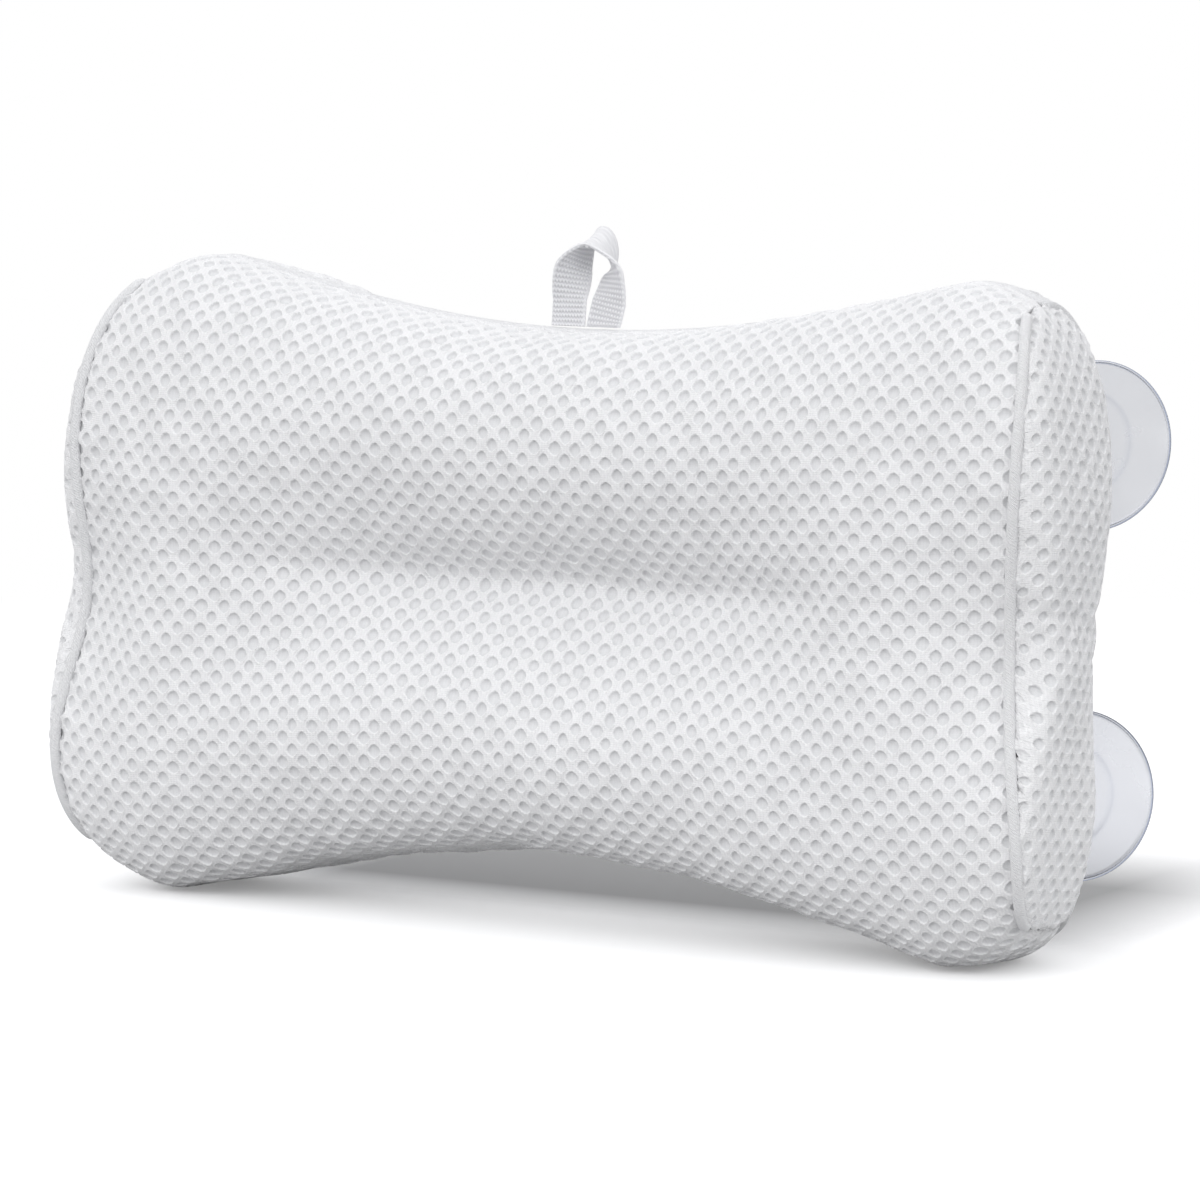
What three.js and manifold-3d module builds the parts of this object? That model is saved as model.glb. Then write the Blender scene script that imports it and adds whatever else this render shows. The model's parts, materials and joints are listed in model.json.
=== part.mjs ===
// A bath pillow: a mesh cover sewn from four panels round a foam core, with corded seams, a hanging
// loop sewn into the top seam, and four suction cups held in eyelets on its back.
// Millimetres. X runs along the pillow, Y towards its back, Z up. The pillow is worked out upright
// round its own middle, then leaned back and stood on the undersides of its two lobes.
import * as THREE from 'three';
import { mergeVertices } from 'three/addons/utils/BufferGeometryUtils.js';
import Module from 'manifold-3d';

// Driving dimensions of the stuffed cover
const seamHalfLength = 161.8; // from the middle to the seam of an end panel
const halfHeight = 95.9; // from the middle to the crest of a lobe
const topDip = 18.3; // how far the top edge dips between the lobes
const bottomArch = 20.6; // how far the bottom edge arches between the lobes
const topShoulderDrop = 4.9; // fall of the top edge from the crest of a lobe to the end seam
const bottomShoulderDrop = 10.6;
const frontDepth = 41.6; // from the middle plane to the front, at the middle and at the ends
const frontEndDepth = 36.8;
const backDepth = 47.2;
const backEndDepth = 18;
const endBulge = 7.3; // how far an end panel swells out past its seam
const waistPull = 5.6; // the end seam is drawn in by this much at the waist, and sunk from the front
const waistSink = 10.8;
const waistHalfHeight = 34.9;
const waistBelowMiddle = 10.2;
const topCornerPull = 9.3; // the end seam is drawn in by this much at its upper and lower corners
const bottomCornerPull = 6.9;
const footSplay = 4.9; // each end stands out this much further at the foot than at mid height
const neckDepth = 13.5; // extra depth of the hollow for the neck, at the middle of the front
const neckHalfLength = 84;
const neckAboveMiddle = 3;
const neckUpperHalfHeight = 28;
const neckLowerHalfHeight = 25;
const neckFoldDepth = 3.2; // the narrow fold at the bottom of that hollow
const neckFoldHalfHeight = 8;
const floorCut = 0.5; // the undersides of the lobes are pressed flat by this much
const leanDegrees = 7.9; // the pillow leans back by this much where it stands

// Driving dimensions of the cloth and its seams
const fabricThickness = 3; // spacer mesh
const pieceGap = 0.3; // clearance between pieces that touch
const cordGap = 0.55; // between a cord and the cut edge of the cloth, measured along the cloth
const coreGap = 1.4; // between the cover's inner face and the foam
const pipingDiameter = 3.2; // cord in the front seam of each end panel
const pipingProud = 1.1; // how far the cord's middle lies under the cloth's face
const bindingDiameter = 2.6; // cord round the back panel
const bindingProud = 0.7;
const bottomSeamY = 38; // the front panel runs under the pillow to this depth

// Driving dimensions of the hanging loop, a folded and turned webbing tape
const tapeWidth = 11.6;
const tapeThickness = 1.2;
const loopMiddleX = -2.5; // middle of the loop's feet along the pillow
const loopHeight = 26.3; // middle of the tape at the crown, above the seam
const loopCrownShift = 1.2; // the crown leans this far along the pillow
const loopLegSpread = 6; // middle of a leg from the middle of the loop
const loopShoulderSpread = 6.3; // the same where the legs bend over into the crown
const loopCrownTilt = 8.3; // the crown's front edge hangs this much below its back edge

// Driving dimensions of a suction cup and its eyelet
const cupRadius = 25;
const cupHollow = 10.4; // depth of the bowl at its middle
const cupEdgeThickness = 0.9;
const cupWall = 2.4; // wall of the bowl where it meets the boss
const bossRadius = 8.4;
const bossLength = 5.4;
const neckRadius = 3.8;
const headRadius = 6.8;
const headThickness = 3;
const cupStandOff = 1.4; // the boss starts this far outside the eyelet's flange
const cupInset = 25.5; // from a cup's middle to the end seam beside it
const cupSpacing = 101.6; // between an upper and a lower cup
const cupMiddleZ = 4.2;
const cupTiltDegrees = 2.6; // the axis follows the slope of the back
const eyeletRadius = 8;
const eyeletFlange = 1.2;
const eyeletBarrel = 5.2;
const eyeletBore = 4.2;
const eyeletSink = 1; // how far the cloth is pressed in under the outer flange
const seatMargin = 1.2; // the cloth is drawn flat this far round a flange
const seatFadeAlong = 8.5; // and finds its own curve again over this distance
const seatFadeUp = 17;
const clothPinch = 1.2; // cloth left between the flanges
const pocketDepth = 10.5; // hollow in the foam for the head of a cup
const cutOverrun = 6;

// Shares and powers that shape the section and the outline
const topLobeShare = 0.863; // place of a lobe's crest along the half length
const bottomLobeShare = 0.821;
const dipPowerShare = 1.19;
const cornerPowerShare = 6;
const sinkPowerShare = 0.65;
const hollowPowerShare = 1.5; // the hollow's sides steepen towards its fold
const lobeFillShare = 0.55; // of the waist's depth that the stuffing fills out over a lobe
const lobeFillStartShare = 0.45; // place along the half length where that filling starts
const lobeFillPowerShare = 1.4;
const frontPowerShares = [2.22, 2.52]; // fullness of the front at the middle and the ends
const backPowerShare = 3.6; // fullness of the back, above and below its middle
const footPowerShare = 5.6;
const endPowerShare = 2.33;
const wedgeShare = 0.07; // the pillow is thicker towards its top by this share
const frontThinningShare = 0.37; // place along the half length where the front starts to thin
const backRoundingShare = 0.494; // place where the back starts to round towards the ends
const backRoundingPowerShare = 6;
const untwistedShare = 0.13; // of the loop's length, at each foot
const pipingEndShare = 0.755; // the cord is tucked in at this share of a quarter turn
const sharpestTurnShare = 0.7; // a cord's section is widened in a bend, up to this share
const bowlPowerShare = 1.8; // fullness of a cup's bowl
const bowlInsideShares = [1, 0.85, 0.66, 0.46, 0.25];
const bowlOutsideShares = [0.45, 0.75];
const headCornerShares = [0.72, 0.45]; // bevel of the mushroom head, across and along
const bossStepShares = [0.55, 0.8]; // steps from the neck out to the boss
const bossRiseShares = [0.12, 0.6, 0.7]; // and where they lie along it
const legShares = [0.43, 0.69]; // heights on the loop where its legs and shoulders are set
const legLeanShares = [1.05, 1.25, 1.6]; // how much of the crown's shift they take

// Where the grid of the cloth is taken: along the half length as far as the cups, round the front
// in degrees, and round the back and over an end panel between places that are set by other pieces
const alongShares = [0, 0.11, 0.22, 0.33, 0.44, 0.55, 0.66, 0.735];
const frontShares = [-121, -106, -96, -87, -78, -68.5, -58.5, -48, -38, -28.5, -19, -10, -1, 8, 17, 27,
  37.5, 48, 58, 68, 77, 84];
const hollowShares = 30; // degrees up and down from the front that the hollow for the neck takes
const aboveCupShares = [0.16, 0.38, 0.68];
const betweenCupShares = [0.25, 0.5, 0.75];
const belowCupShares = [0.55];
const domeShares = [0.5, 0.7, 0.86, 0.96];

// How finely the round pieces are faceted, and the smallest length that counts
const cupTurns = 24;
const eyeletTurns = 20;
const cordSides = 8;
const loopSteps = 30;
const hair = 1e-4;

const halfTurn = Math.PI;
const quarterTurn = halfTurn / 2;
const radians = (degrees) => (degrees * halfTurn) / 180;
const clamp01 = (t) => Math.min(1, Math.max(0, t));
const mix = (a, b, t) => a + (b - a) * t;
const bell = (distance, width) => Math.exp(-((distance / width) ** 2));

// One section of the stuffed cover: how far it reaches up, down, forwards and back at share u of the
// half length
function sectionSizes(u) {
  const s = Math.abs(u);
  const edge = (lobe, dip, drop) =>
    halfHeight - dip * Math.max(0, 1 - (s / lobe) ** 2) ** dipPowerShare
    - drop * clamp01((s - lobe) / (1 - lobe)) ** 2;
  const thinning = clamp01((s - frontThinningShare) / (1 - frontThinningShare)) ** 2;
  const rounding = clamp01((s - backRoundingShare) / (1 - backRoundingShare))
    ** backRoundingPowerShare;
  return {
    top: edge(topLobeShare, topDip, topShoulderDrop),
    bottom: -edge(bottomLobeShare, bottomArch, bottomShoulderDrop),
    front: mix(frontDepth, frontEndDepth, thinning),
    back: mix(backDepth, backEndDepth, rounding),
    frontPower: mix(...frontPowerShares, s ** 2),
  };
}

// How far the front is pressed in at height z: the waist, which the stuffing partly fills out over the
// lobes, and the hollow for the neck
function frontSink(u, z) {
  const overLobe = clamp01((Math.abs(u) - lobeFillStartShare) / (1 - lobeFillStartShare));
  const filled = lobeFillShare * Math.sin(halfTurn * overLobe ** lobeFillPowerShare) ** 2;
  const waist = waistSink * bell(z + waistBelowMiddle, waistHalfHeight) * (1 - filled);
  const rise = z - neckAboveMiddle;
  const reach = rise > 0 ? neckUpperHalfHeight : neckLowerHalfHeight;
  const hollow = neckDepth * Math.exp(-(Math.abs(rise / reach) ** hollowPowerShare));
  const fold = neckFoldDepth * bell(rise, neckFoldHalfHeight);
  const x = u * seamHalfLength;
  return waist + (hollow + fold) * Math.exp(-((x / neckHalfLength) ** 4));
}

// Point of the stuffed cover at share u of the half length and angle phi round the section: 0 faces
// the front, a quarter turn is the top, half a turn the back. The section is a superellipse whose
// two halves have their own depth and fullness.
function stuffedPoint(u, phi) {
  const size = sectionSizes(u);
  const c = Math.cos(phi);
  const s = Math.sin(phi);
  const facesFront = c >= 0;
  const backPower = s > 0 ? backPowerShare : footPowerShare;
  const power = facesFront ? size.frontPower : backPower;
  const reach = (Math.abs(c) ** power + Math.abs(s) ** power) ** (-1 / power);
  const across = reach * c;
  const up = reach * s;
  const z = mix(size.bottom, size.top, (1 + up) / 2);
  const y = facesFront
    ? -size.front * across + frontSink(u, z) * across ** sinkPowerShare
    : -size.back * across;
  const cornerPull = up > 0 ? topCornerPull : bottomCornerPull;
  const halfLength = seamHalfLength - (footSplay * z) / halfHeight
    - waistPull * bell(z + waistBelowMiddle, waistHalfHeight)
    - cornerPull * Math.abs(up) ** cornerPowerShare;
  return new THREE.Vector3(u * halfLength, y * (1 + (wedgeShare * z) / halfHeight), z);
}

// Angle round the back, at share u of the half length, where the section is at height z
function backAngle(u, z) {
  const size = sectionSizes(u);
  const up = (2 * z - size.top - size.bottom) / (size.top - size.bottom);
  const power = up > 0 ? backPowerShare : footPowerShare;
  const across = (1 - Math.abs(up) ** power) ** (1 / power);
  return halfTurn - Math.atan2(up, across);
}

// Where each cup sits: x, y and z on the cloth's face, with its share of the half length
const cupShare = 1 - cupInset / seamHalfLength;
const cupHeights = { upper: cupMiddleZ + cupSpacing / 2, lower: cupMiddleZ - cupSpacing / 2 };
const cupSeats = [];
for (const [height, z] of Object.entries(cupHeights)) {
  for (const [end, side] of Object.entries({ left: -1, right: 1 })) {
    const { x, y } = stuffedPoint(side * cupShare, backAngle(cupShare, z));
    cupSeats.push({ name: `${height}_${end}`, x, y, z });
  }
}

// Point of the cover, with the back drawn flat and square to each cup's axis round its eyelet
const seatHalf = eyeletRadius + seatMargin;
const fade = (distance, width) => {
  const t = clamp01((distance - seatHalf) / width);
  return 1 - t * t * (3 - 2 * t);
};
function coverPoint(u, phi) {
  const point = stuffedPoint(u, phi);
  if (Math.cos(phi) >= 0) return point;
  for (const seat of cupSeats) {
    const weight = fade(Math.abs(point.x - seat.x), seatFadeAlong)
      * fade(Math.abs(point.z - seat.z), seatFadeUp);
    const flat = seat.y + (point.z - seat.z) * Math.tan(radians(cupTiltDegrees));
    point.y = mix(point.y, flat, weight);
  }
  return point;
}

// Point of an end panel: a low dome over the outline of its seam. rise goes from 0 at the seam to 1
// at the middle of the dome.
function endPoint(side, rise, phi) {
  const rim = coverPoint(side, phi);
  const share = Math.max(0, 1 - rise ** endPowerShare) ** (1 / endPowerShare);
  const size = sectionSizes(side);
  const middle = new THREE.Vector3(
    side * seamHalfLength, (size.back - size.front) / 2, (size.top + size.bottom) / 2);
  const x = mix(middle.x, rim.x, share ** 3) + side * endBulge * rise;
  return new THREE.Vector3(x, mix(middle.y, rim.y, share), mix(middle.z, rim.z, share));
}

// Angle that lies a distance along the cloth away from angle phi
function angleAway(u, phi, distance) {
  const speed = coverPoint(u, phi + hair).distanceTo(coverPoint(u, phi - hair)) / (2 * hair);
  return phi + distance / speed;
}

// Angle of the bottom seam: where the section reaches the depth bottomSeamY behind the middle
function bottomSeamAngle() {
  const across = bottomSeamY / backDepth;
  const down = (1 - across ** footPowerShare) ** (1 / footPowerShare);
  return -quarterTurn - Math.atan2(across, down);
}

// Angles of the rows round the back: lines on the middle and the edges of each cup's seat, and
// shares of the way between them
function backAngles() {
  const seatLines = (z) => [seatHalf, 0, -seatHalf].map((away) => backAngle(cupShare, z + away));
  const upper = seatLines(cupHeights.upper);
  const lower = seatLines(cupHeights.lower);
  const between = (from, to, shares) => shares.map((share) => mix(from, to, share));
  return [
    ...between(quarterTurn, upper[0], aboveCupShares),
    ...upper,
    ...between(upper[2], lower[0], betweenCupShares),
    ...lower,
    ...between(lower[2], bottomAngle + 2 * halfTurn, belowCupShares),
  ];
}

// The grid of the whole cover. Rows go round the section and columns along the pillow, with lines on
// each seam and on the cut edge of the cloth beside it.
const bindingMargin = bindingDiameter / 2 + cordGap;
const pipingMargin = pipingDiameter / 2 + cordGap;
const bottomAngle = bottomSeamAngle();
const rows = [
  { name: 'bottomSeam', at: () => bottomAngle },
  {
    name: 'frontStart',
    at: (u) => angleAway(u, bottomAngle, bindingMargin),
    clothOnly: true,
  },
  ...frontShares.map((degrees, k) => ({
    at: () => radians(degrees),
    clothOnly: k % 2 === 0 && Math.abs(degrees) > hollowShares,
  })),
  {
    name: 'frontEnd',
    at: (u) => angleAway(u, quarterTurn - hair, -bindingMargin),
    clothOnly: true,
  },
  { name: 'topSeam', at: () => quarterTurn },
  {
    name: 'backStart',
    at: (u) => angleAway(u, quarterTurn + hair, bindingMargin),
    clothOnly: true,
  },
  ...backAngles().map((angle) => ({ at: () => angle })),
  {
    name: 'backEnd',
    at: (u) => angleAway(u, bottomAngle + 2 * halfTurn, -bindingMargin),
    clothOnly: true,
  },
];
const rowAt = (name) => rows.findIndex((row) => row.name === name);
const topSeamRow = rowAt('topSeam');

// Half the slot between an end panel and its neighbour on one row: room for the cord that lies
// there, or only the clearance where the seam is plain
function endMargin(row) {
  if (row <= 1 || row >= topSeamRow - 1) return bindingMargin;
  const angle = rows[row].at(1);
  return Math.abs(angle) <= quarterTurn * pipingEndShare ? pipingMargin : pieceGap / 2;
}

const seatShares = [-seatHalf, 0, seatHalf, seatHalf + seatFadeAlong / 2]
  .map((away) => cupShare + away / seamHalfLength);
const halfShares = [...alongShares, ...seatShares];
const endColumns = [
  { seam: true },
  { rise: 'edge', clothOnly: true },
  ...domeShares.map((rise, k) => ({ rise, clothOnly: k % 2 === 0 })),
];
const sideColumns = [
  ...halfShares.filter((share) => share > 0).map((u) => ({ u })),
  { edge: true, clothOnly: true },
  ...endColumns,
];
const onSide = (column, side) => ({ ...column, side, u: column.u && side * column.u });
const columns = [
  ...sideColumns.map((column) => onSide(column, -1)).reverse(),
  { u: 0 },
  ...sideColumns.map((column) => onSide(column, 1)),
];
const leftSeamColumn = domeShares.length + 1;
const rightSeamColumn = columns.length - 1 - leftSeamColumn;

function gridPoint(column, row) {
  const { side, rise, u } = column;
  const margin = endMargin(row);
  if (rise === 'edge') return endPoint(side, margin / endBulge, rows[row].at(side));
  if (rise !== undefined) return endPoint(side, rise, rows[row].at(side));
  if (column.seam) return coverPoint(side, rows[row].at(side));
  const along = column.edge ? side * (1 - margin / seamHalfLength) : u;
  return coverPoint(along, rows[row].at(along));
}

// A closed surface from rings of points: quads between the rings, and a fan to a pole at each end
function ringsGeometry(rings, firstPole, lastPole) {
  const count = rings[0].length;
  const points = [...rings.flat(), firstPole, lastPole];
  const index = [];
  const at = (ring, k) => ring * count + (k % count);
  for (let ring = 0; ring + 1 < rings.length; ring++) {
    for (let k = 0; k < count; k++) {
      const [a, b, c, d] = [at(ring, k), at(ring, k + 1), at(ring + 1, k + 1), at(ring + 1, k)];
      index.push(a, b, d, b, c, d);
    }
  }
  const last = rings.length - 1;
  for (let k = 0; k < count; k++) {
    index.push(rings.length * count, at(0, k + 1), at(0, k));
    index.push(rings.length * count + 1, at(last, k), at(last, k + 1));
  }
  return indexedGeometry(points, index);
}

function indexedGeometry(points, index) {
  const geometry = new THREE.BufferGeometry().setFromPoints(points);
  geometry.setIndex(index);
  return geometry;
}

// The cover's points with the outward direction at each, so that every layer is the same grid moved
// inwards by its own depth. Cut edges move in the direction of their seam, which keeps them apart.
const coverRings = columns.map((column) => rows.map((_, row) => gridPoint(column, row)));
const polePoints = [-1, 1].map((side) => endPoint(side, 1, 0));
const coverSurface = facingOut(ringsGeometry(coverRings, polePoints[0], polePoints[1]));
coverSurface.computeVertexNormals();
const normalAt = (index) => new THREE.Vector3()
  .fromBufferAttribute(coverSurface.attributes.normal, index);
const besideSeam = (place, seams, reach) =>
  seams.find((seam) => Math.abs(seam - place) <= reach) ?? place;
const outwardAt = (column, row) => {
  const c = besideSeam(column, [leftSeamColumn, rightSeamColumn], 1);
  const r = row === rows.length - 1 ? 0 : besideSeam(row, [0, topSeamRow], 1);
  return normalAt(c * rows.length + r);
};
const layerPoint = (column, row, depth) =>
  coverRings[column][row].clone().addScaledVector(outwardAt(column, row), -depth);
const layerPole = (which, depth) => polePoints[which].clone()
  .addScaledVector(normalAt(columns.length * rows.length + which), -depth);

// A sheet of cloth between two layers of the grid, closed along its cut edges
function sheetGeometry(columnFrom, columnTo, rowFrom, rowTo) {
  const wide = columnTo - columnFrom + 1;
  const high = rowTo - rowFrom + 1;
  const points = [];
  for (const depth of [0, fabricThickness]) {
    for (let c = columnFrom; c <= columnTo; c++) {
      for (let r = rowFrom; r <= rowTo; r++) points.push(layerPoint(c, r, depth));
    }
  }
  const at = (c, r, inner) => inner * wide * high + c * high + r;
  const index = [];
  const quad = (a, b, c, d) => index.push(a, b, d, b, c, d);
  for (let c = 0; c + 1 < wide; c++) {
    for (let r = 0; r + 1 < high; r++) {
      quad(at(c, r, 0), at(c, r + 1, 0), at(c + 1, r + 1, 0), at(c + 1, r, 0));
      quad(at(c, r, 1), at(c + 1, r, 1), at(c + 1, r + 1, 1), at(c, r + 1, 1));
    }
  }
  for (let c = 0; c + 1 < wide; c++) {
    quad(at(c, 0, 0), at(c + 1, 0, 0), at(c + 1, 0, 1), at(c, 0, 1));
    quad(at(c, high - 1, 0), at(c, high - 1, 1), at(c + 1, high - 1, 1), at(c + 1, high - 1, 0));
  }
  for (let r = 0; r + 1 < high; r++) {
    quad(at(0, r, 0), at(0, r, 1), at(0, r + 1, 1), at(0, r + 1, 0));
    quad(at(wide - 1, r, 0), at(wide - 1, r + 1, 0), at(wide - 1, r + 1, 1), at(wide - 1, r, 1));
  }
  return indexedGeometry(points, index);
}

// An end panel: the dome's outer face, its rim and its inner face as one run of rings
function endPanelGeometry(side) {
  const faces = side < 0
    ? columns.slice(0, leftSeamColumn).map((_, c) => c)
    : columns.map((_, c) => c).slice(rightSeamColumn + 1).reverse();
  const ring = (column, depth) => rows.map((_, row) => layerPoint(column, row, depth));
  const outer = faces.map((column) => ring(column, 0));
  const inner = [...faces].reverse().map((column) => ring(column, fabricThickness));
  const which = side < 0 ? 0 : 1;
  const rings = [...outer, ...inner];
  if (side > 0) rings.forEach((points) => points.reverse());
  return ringsGeometry(rings, layerPole(which, 0), layerPole(which, fabricThickness));
}

// The foam core: the same surface moved in by the cloth and a clearance, without the lines that only
// the cloth needs
function coreGeometry() {
  const depth = fabricThickness + coreGap;
  const kept = (lines) => lines.map((_, k) => k).filter((k) => !lines[k].clothOnly);
  const rings = kept(columns).map((c) => kept(rows).map((r) => layerPoint(c, r, depth)));
  return ringsGeometry(rings, layerPole(0, depth), layerPole(1, depth));
}

// A cord along points of the grid: rings of the cord's section, each square to the run of the cord
function cordRing(points, k, closed, radius, outward) {
  const count = points.length;
  const before = points[closed ? (k + count - 1) % count : Math.max(0, k - 1)];
  const after = points[closed ? (k + 1) % count : Math.min(count - 1, k + 1)];
  const into = points[k].clone().sub(before).normalize();
  const out = after.clone().sub(points[k]).normalize();
  const run = into.add(out).normalize();
  const up = outward[k].clone().addScaledVector(run, -outward[k].dot(run)).normalize();
  const across = new THREE.Vector3().crossVectors(run, up);
  const turn = Math.max(sharpestTurnShare, run.dot(out.lengthSq() > 0 ? out : run));
  return Array.from({ length: cordSides }, (_, n) => {
    const angle = (2 * halfTurn * (n + 0.5)) / cordSides;
    return points[k].clone()
      .addScaledVector(across, (radius * Math.cos(angle)) / turn)
      .addScaledVector(up, radius * Math.sin(angle));
  });
}

// A closed cord, whose last ring meets the first
function closedCordGeometry(points, outward, radius) {
  const rings = points.map((_, k) => cordRing(points, k, true, radius, outward));
  const index = [];
  const at = (ring, n) => (ring % rings.length) * cordSides + (n % cordSides);
  for (let ring = 0; ring < rings.length; ring++) {
    for (let n = 0; n < cordSides; n++) {
      const [a, b, c, d] = [at(ring, n), at(ring, n + 1), at(ring + 1, n + 1), at(ring + 1, n)];
      index.push(a, b, d, b, c, d);
    }
  }
  return indexedGeometry(rings.flat(), index);
}

// Faces that come out pointing inwards are turned round
function facingOut(geometry) {
  const index = geometry.index.array;
  const position = geometry.attributes.position;
  const corner = (i) => new THREE.Vector3().fromBufferAttribute(position, index[i]);
  let volume = 0;
  for (let i = 0; i < index.length; i += 3) {
    volume += corner(i).dot(corner(i + 1).cross(corner(i + 2)));
  }
  if (volume > 0) return geometry;
  const turned = [];
  for (let i = 0; i < index.length; i += 3) turned.push(index[i], index[i + 2], index[i + 1]);
  geometry.setIndex(turned);
  return geometry;
}

// The cord in the front seam of an end panel, with its ends tucked down into the seam
function pipingGeometry(side) {
  const column = side < 0 ? leftSeamColumn : rightSeamColumn;
  const cordRows = rows.map((_, r) => r)
    .filter((r) => r > 1 && r < topSeamRow - 1 && endMargin(r) === pipingMargin);
  const points = cordRows.map((row) => layerPoint(column, row, pipingProud));
  const outward = cordRows.map((row) => outwardAt(column, row));
  const radius = pipingDiameter / 2;
  const rings = points.map((_, k) => cordRing(points, k, false, radius, outward));
  const pole = (k, next) => points[k].clone()
    .addScaledVector(points[k].clone().sub(points[next]).normalize(), radius / 2);
  return facingOut(
    ringsGeometry(rings, pole(0, 1), pole(points.length - 1, points.length - 2)));
}

// The cord round the back panel: along the top seam, down one end, back along the bottom seam and
// up the other end
function bindingGeometry() {
  const path = [];
  for (let c = leftSeamColumn; c < rightSeamColumn; c++) path.push([c, topSeamRow]);
  for (let r = topSeamRow; r < rows.length; r++) path.push([rightSeamColumn, r]);
  for (let c = rightSeamColumn; c > leftSeamColumn; c--) path.push([c, 0]);
  path.push([leftSeamColumn, 0]);
  for (let r = rows.length - 1; r > topSeamRow; r--) path.push([leftSeamColumn, r]);
  const points = path.map(([c, r]) => layerPoint(c, r, bindingProud));
  const outward = path.map(([c, r]) => outwardAt(c, r));
  return facingOut(closedCordGeometry(points, outward, bindingDiameter / 2));
}

// The hanging loop: a tape whose legs stand side by side in the seam. Going up a leg the tape turns,
// so that its outer edges come together at the front of the crown. Its ends are cut level along the
// seam.
const seamTop = coverPoint(alongShares[1], quarterTurn).z + bindingDiameter / 2 - bindingProud;
function loopGeometry() {
  const foot = seamTop + pieceGap;
  const crown = foot + loopHeight;
  const [legTop, shoulder] = legShares.map((share) => mix(foot, crown, share));
  const [leftShoulder, rightShoulder, rightLeg] = legLeanShares.map((share) => loopCrownShift * share);
  const curve = new THREE.CatmullRomCurve3([
    [-loopLegSpread, foot],
    [-loopLegSpread, legTop],
    [-loopShoulderSpread + leftShoulder, shoulder],
    [loopCrownShift, crown],
    [loopShoulderSpread + rightShoulder, shoulder],
    [loopLegSpread + rightLeg, legTop],
    [loopLegSpread, foot],
  ].map(([x, z]) => new THREE.Vector3(loopMiddleX + x, 0, z)));
  const rings = [];
  for (let k = 0; k <= loopSteps; k++) {
    const t = k / loopSteps;
    const run = curve.getTangentAt(t).normalize();
    const turn = halfTurn * turnShare(t);
    const tilt = (loopCrownTilt / tapeWidth) * Math.sin(turn);
    const wide = new THREE.Vector3(-Math.cos(turn), -Math.sin(turn), -tilt).normalize();
    wide.addScaledVector(run, -wide.dot(run)).normalize();
    const thick = new THREE.Vector3().crossVectors(run, wide);
    const middle = curve.getPointAt(t);
    rings.push([[1, 1], [-1, 1], [-1, -1], [1, -1]].map(([a, b]) => middle.clone()
      .addScaledVector(wide, (a * tapeWidth) / 2)
      .addScaledVector(thick, (b * tapeThickness) / 2)));
  }
  for (const cutEnd of [rings[0], rings[loopSteps]]) {
    for (const corner of cutEnd) corner.z = foot;
  }
  const middleOf = (ring) => ring.reduce((sum, p) => sum.add(p), new THREE.Vector3())
    .divideScalar(ring.length);
  return facingOut(ringsGeometry(rings, middleOf(rings[0]), middleOf(rings[loopSteps])));
}

// How much of the loop's half turn is done at share t of its length: it starts above the feet
function turnShare(t) {
  return clamp01((t - untwistedShare) / (1 - 2 * untwistedShare));
}

// A turned piece about +Y from pairs of radius and place along the axis
function turnedGeometry(profile, segments) {
  const lathe = new THREE.LatheGeometry(
    profile.map(([radius, along]) => new THREE.Vector2(radius, along)), segments);
  const bare = new THREE.BufferGeometry();
  bare.setAttribute('position', lathe.attributes.position);
  bare.setIndex(lathe.index);
  return facingOut(mergeVertices(bare, hair));
}

// Places along a cup's axis, counted from the cloth's face at the eyelet towards the wall it grips
const flangeSeat = -eyeletSink; // underside of the outer flange's cloth seat
const flangeFace = flangeSeat + pieceGap + eyeletFlange;
const washerSeat = flangeSeat - clothPinch;
const washerFace = washerSeat - pieceGap - eyeletFlange;
const headTop = washerFace - pieceGap;
const bossStart = flangeFace + cupStandOff;
const bossEnd = bossStart + bossLength;

// A suction cup: a thin bowl that opens away from the pillow, a boss behind it, and a neck with a
// mushroom head that is pushed through the eyelet
const cupRim = bossEnd + cupWall + cupHollow;
function cupGeometry() {
  const depthAt = (share) => cupHollow * (1 - share ** bowlPowerShare);
  const inside = bowlInsideShares.map((s) => [cupRadius * s, cupRim - depthAt(s)]);
  inside[0][0] -= cupEdgeThickness;
  const outside = bowlOutsideShares.map((s) => [
    mix(bossRadius, cupRadius, s),
    cupRim - depthAt(mix(bossRadius / cupRadius, 1, s)) - mix(cupWall, cupEdgeThickness, s)]);
  const [cornerAcross, cornerAlong] = headCornerShares;
  const [firstStep, secondStep] = bossStepShares.map((share) => mix(neckRadius, bossRadius, share));
  const [bevelEnd, stepEnd, bossEdge] = bossRiseShares.map((share) => mix(bossStart, bossEnd, share));
  const profile = [
    [0, headTop - headThickness],
    [headRadius * cornerAcross, headTop - headThickness],
    [headRadius, headTop - headThickness * cornerAlong],
    [headRadius, headTop],
    [neckRadius, headTop],
    [neckRadius, bossStart],
    [firstStep, bossStart],
    [secondStep, bevelEnd],
    [secondStep, stepEnd],
    [bossRadius, bossEdge],
    [bossRadius, cupRim - depthAt(bossRadius / cupRadius) - cupWall],
    ...outside,
    [cupRadius, cupRim - cupEdgeThickness],
    [cupRadius, cupRim],
    ...inside,
    [0, cupRim - cupHollow],
  ];
  return turnedGeometry(profile, cupTurns);
}

// An eyelet: a flange outside the cloth with a barrel through it
function eyeletGeometry() {
  return turnedGeometry([
    [eyeletBore, washerFace],
    [eyeletBarrel, washerFace],
    [eyeletBarrel, flangeSeat + pieceGap],
    [eyeletRadius, flangeSeat + pieceGap],
    [eyeletRadius, flangeFace - eyeletFlange / 2],
    [eyeletRadius - eyeletFlange / 2, flangeFace],
    [eyeletBore, flangeFace],
    [eyeletBore, washerFace],
  ], eyeletTurns);
}

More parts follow.
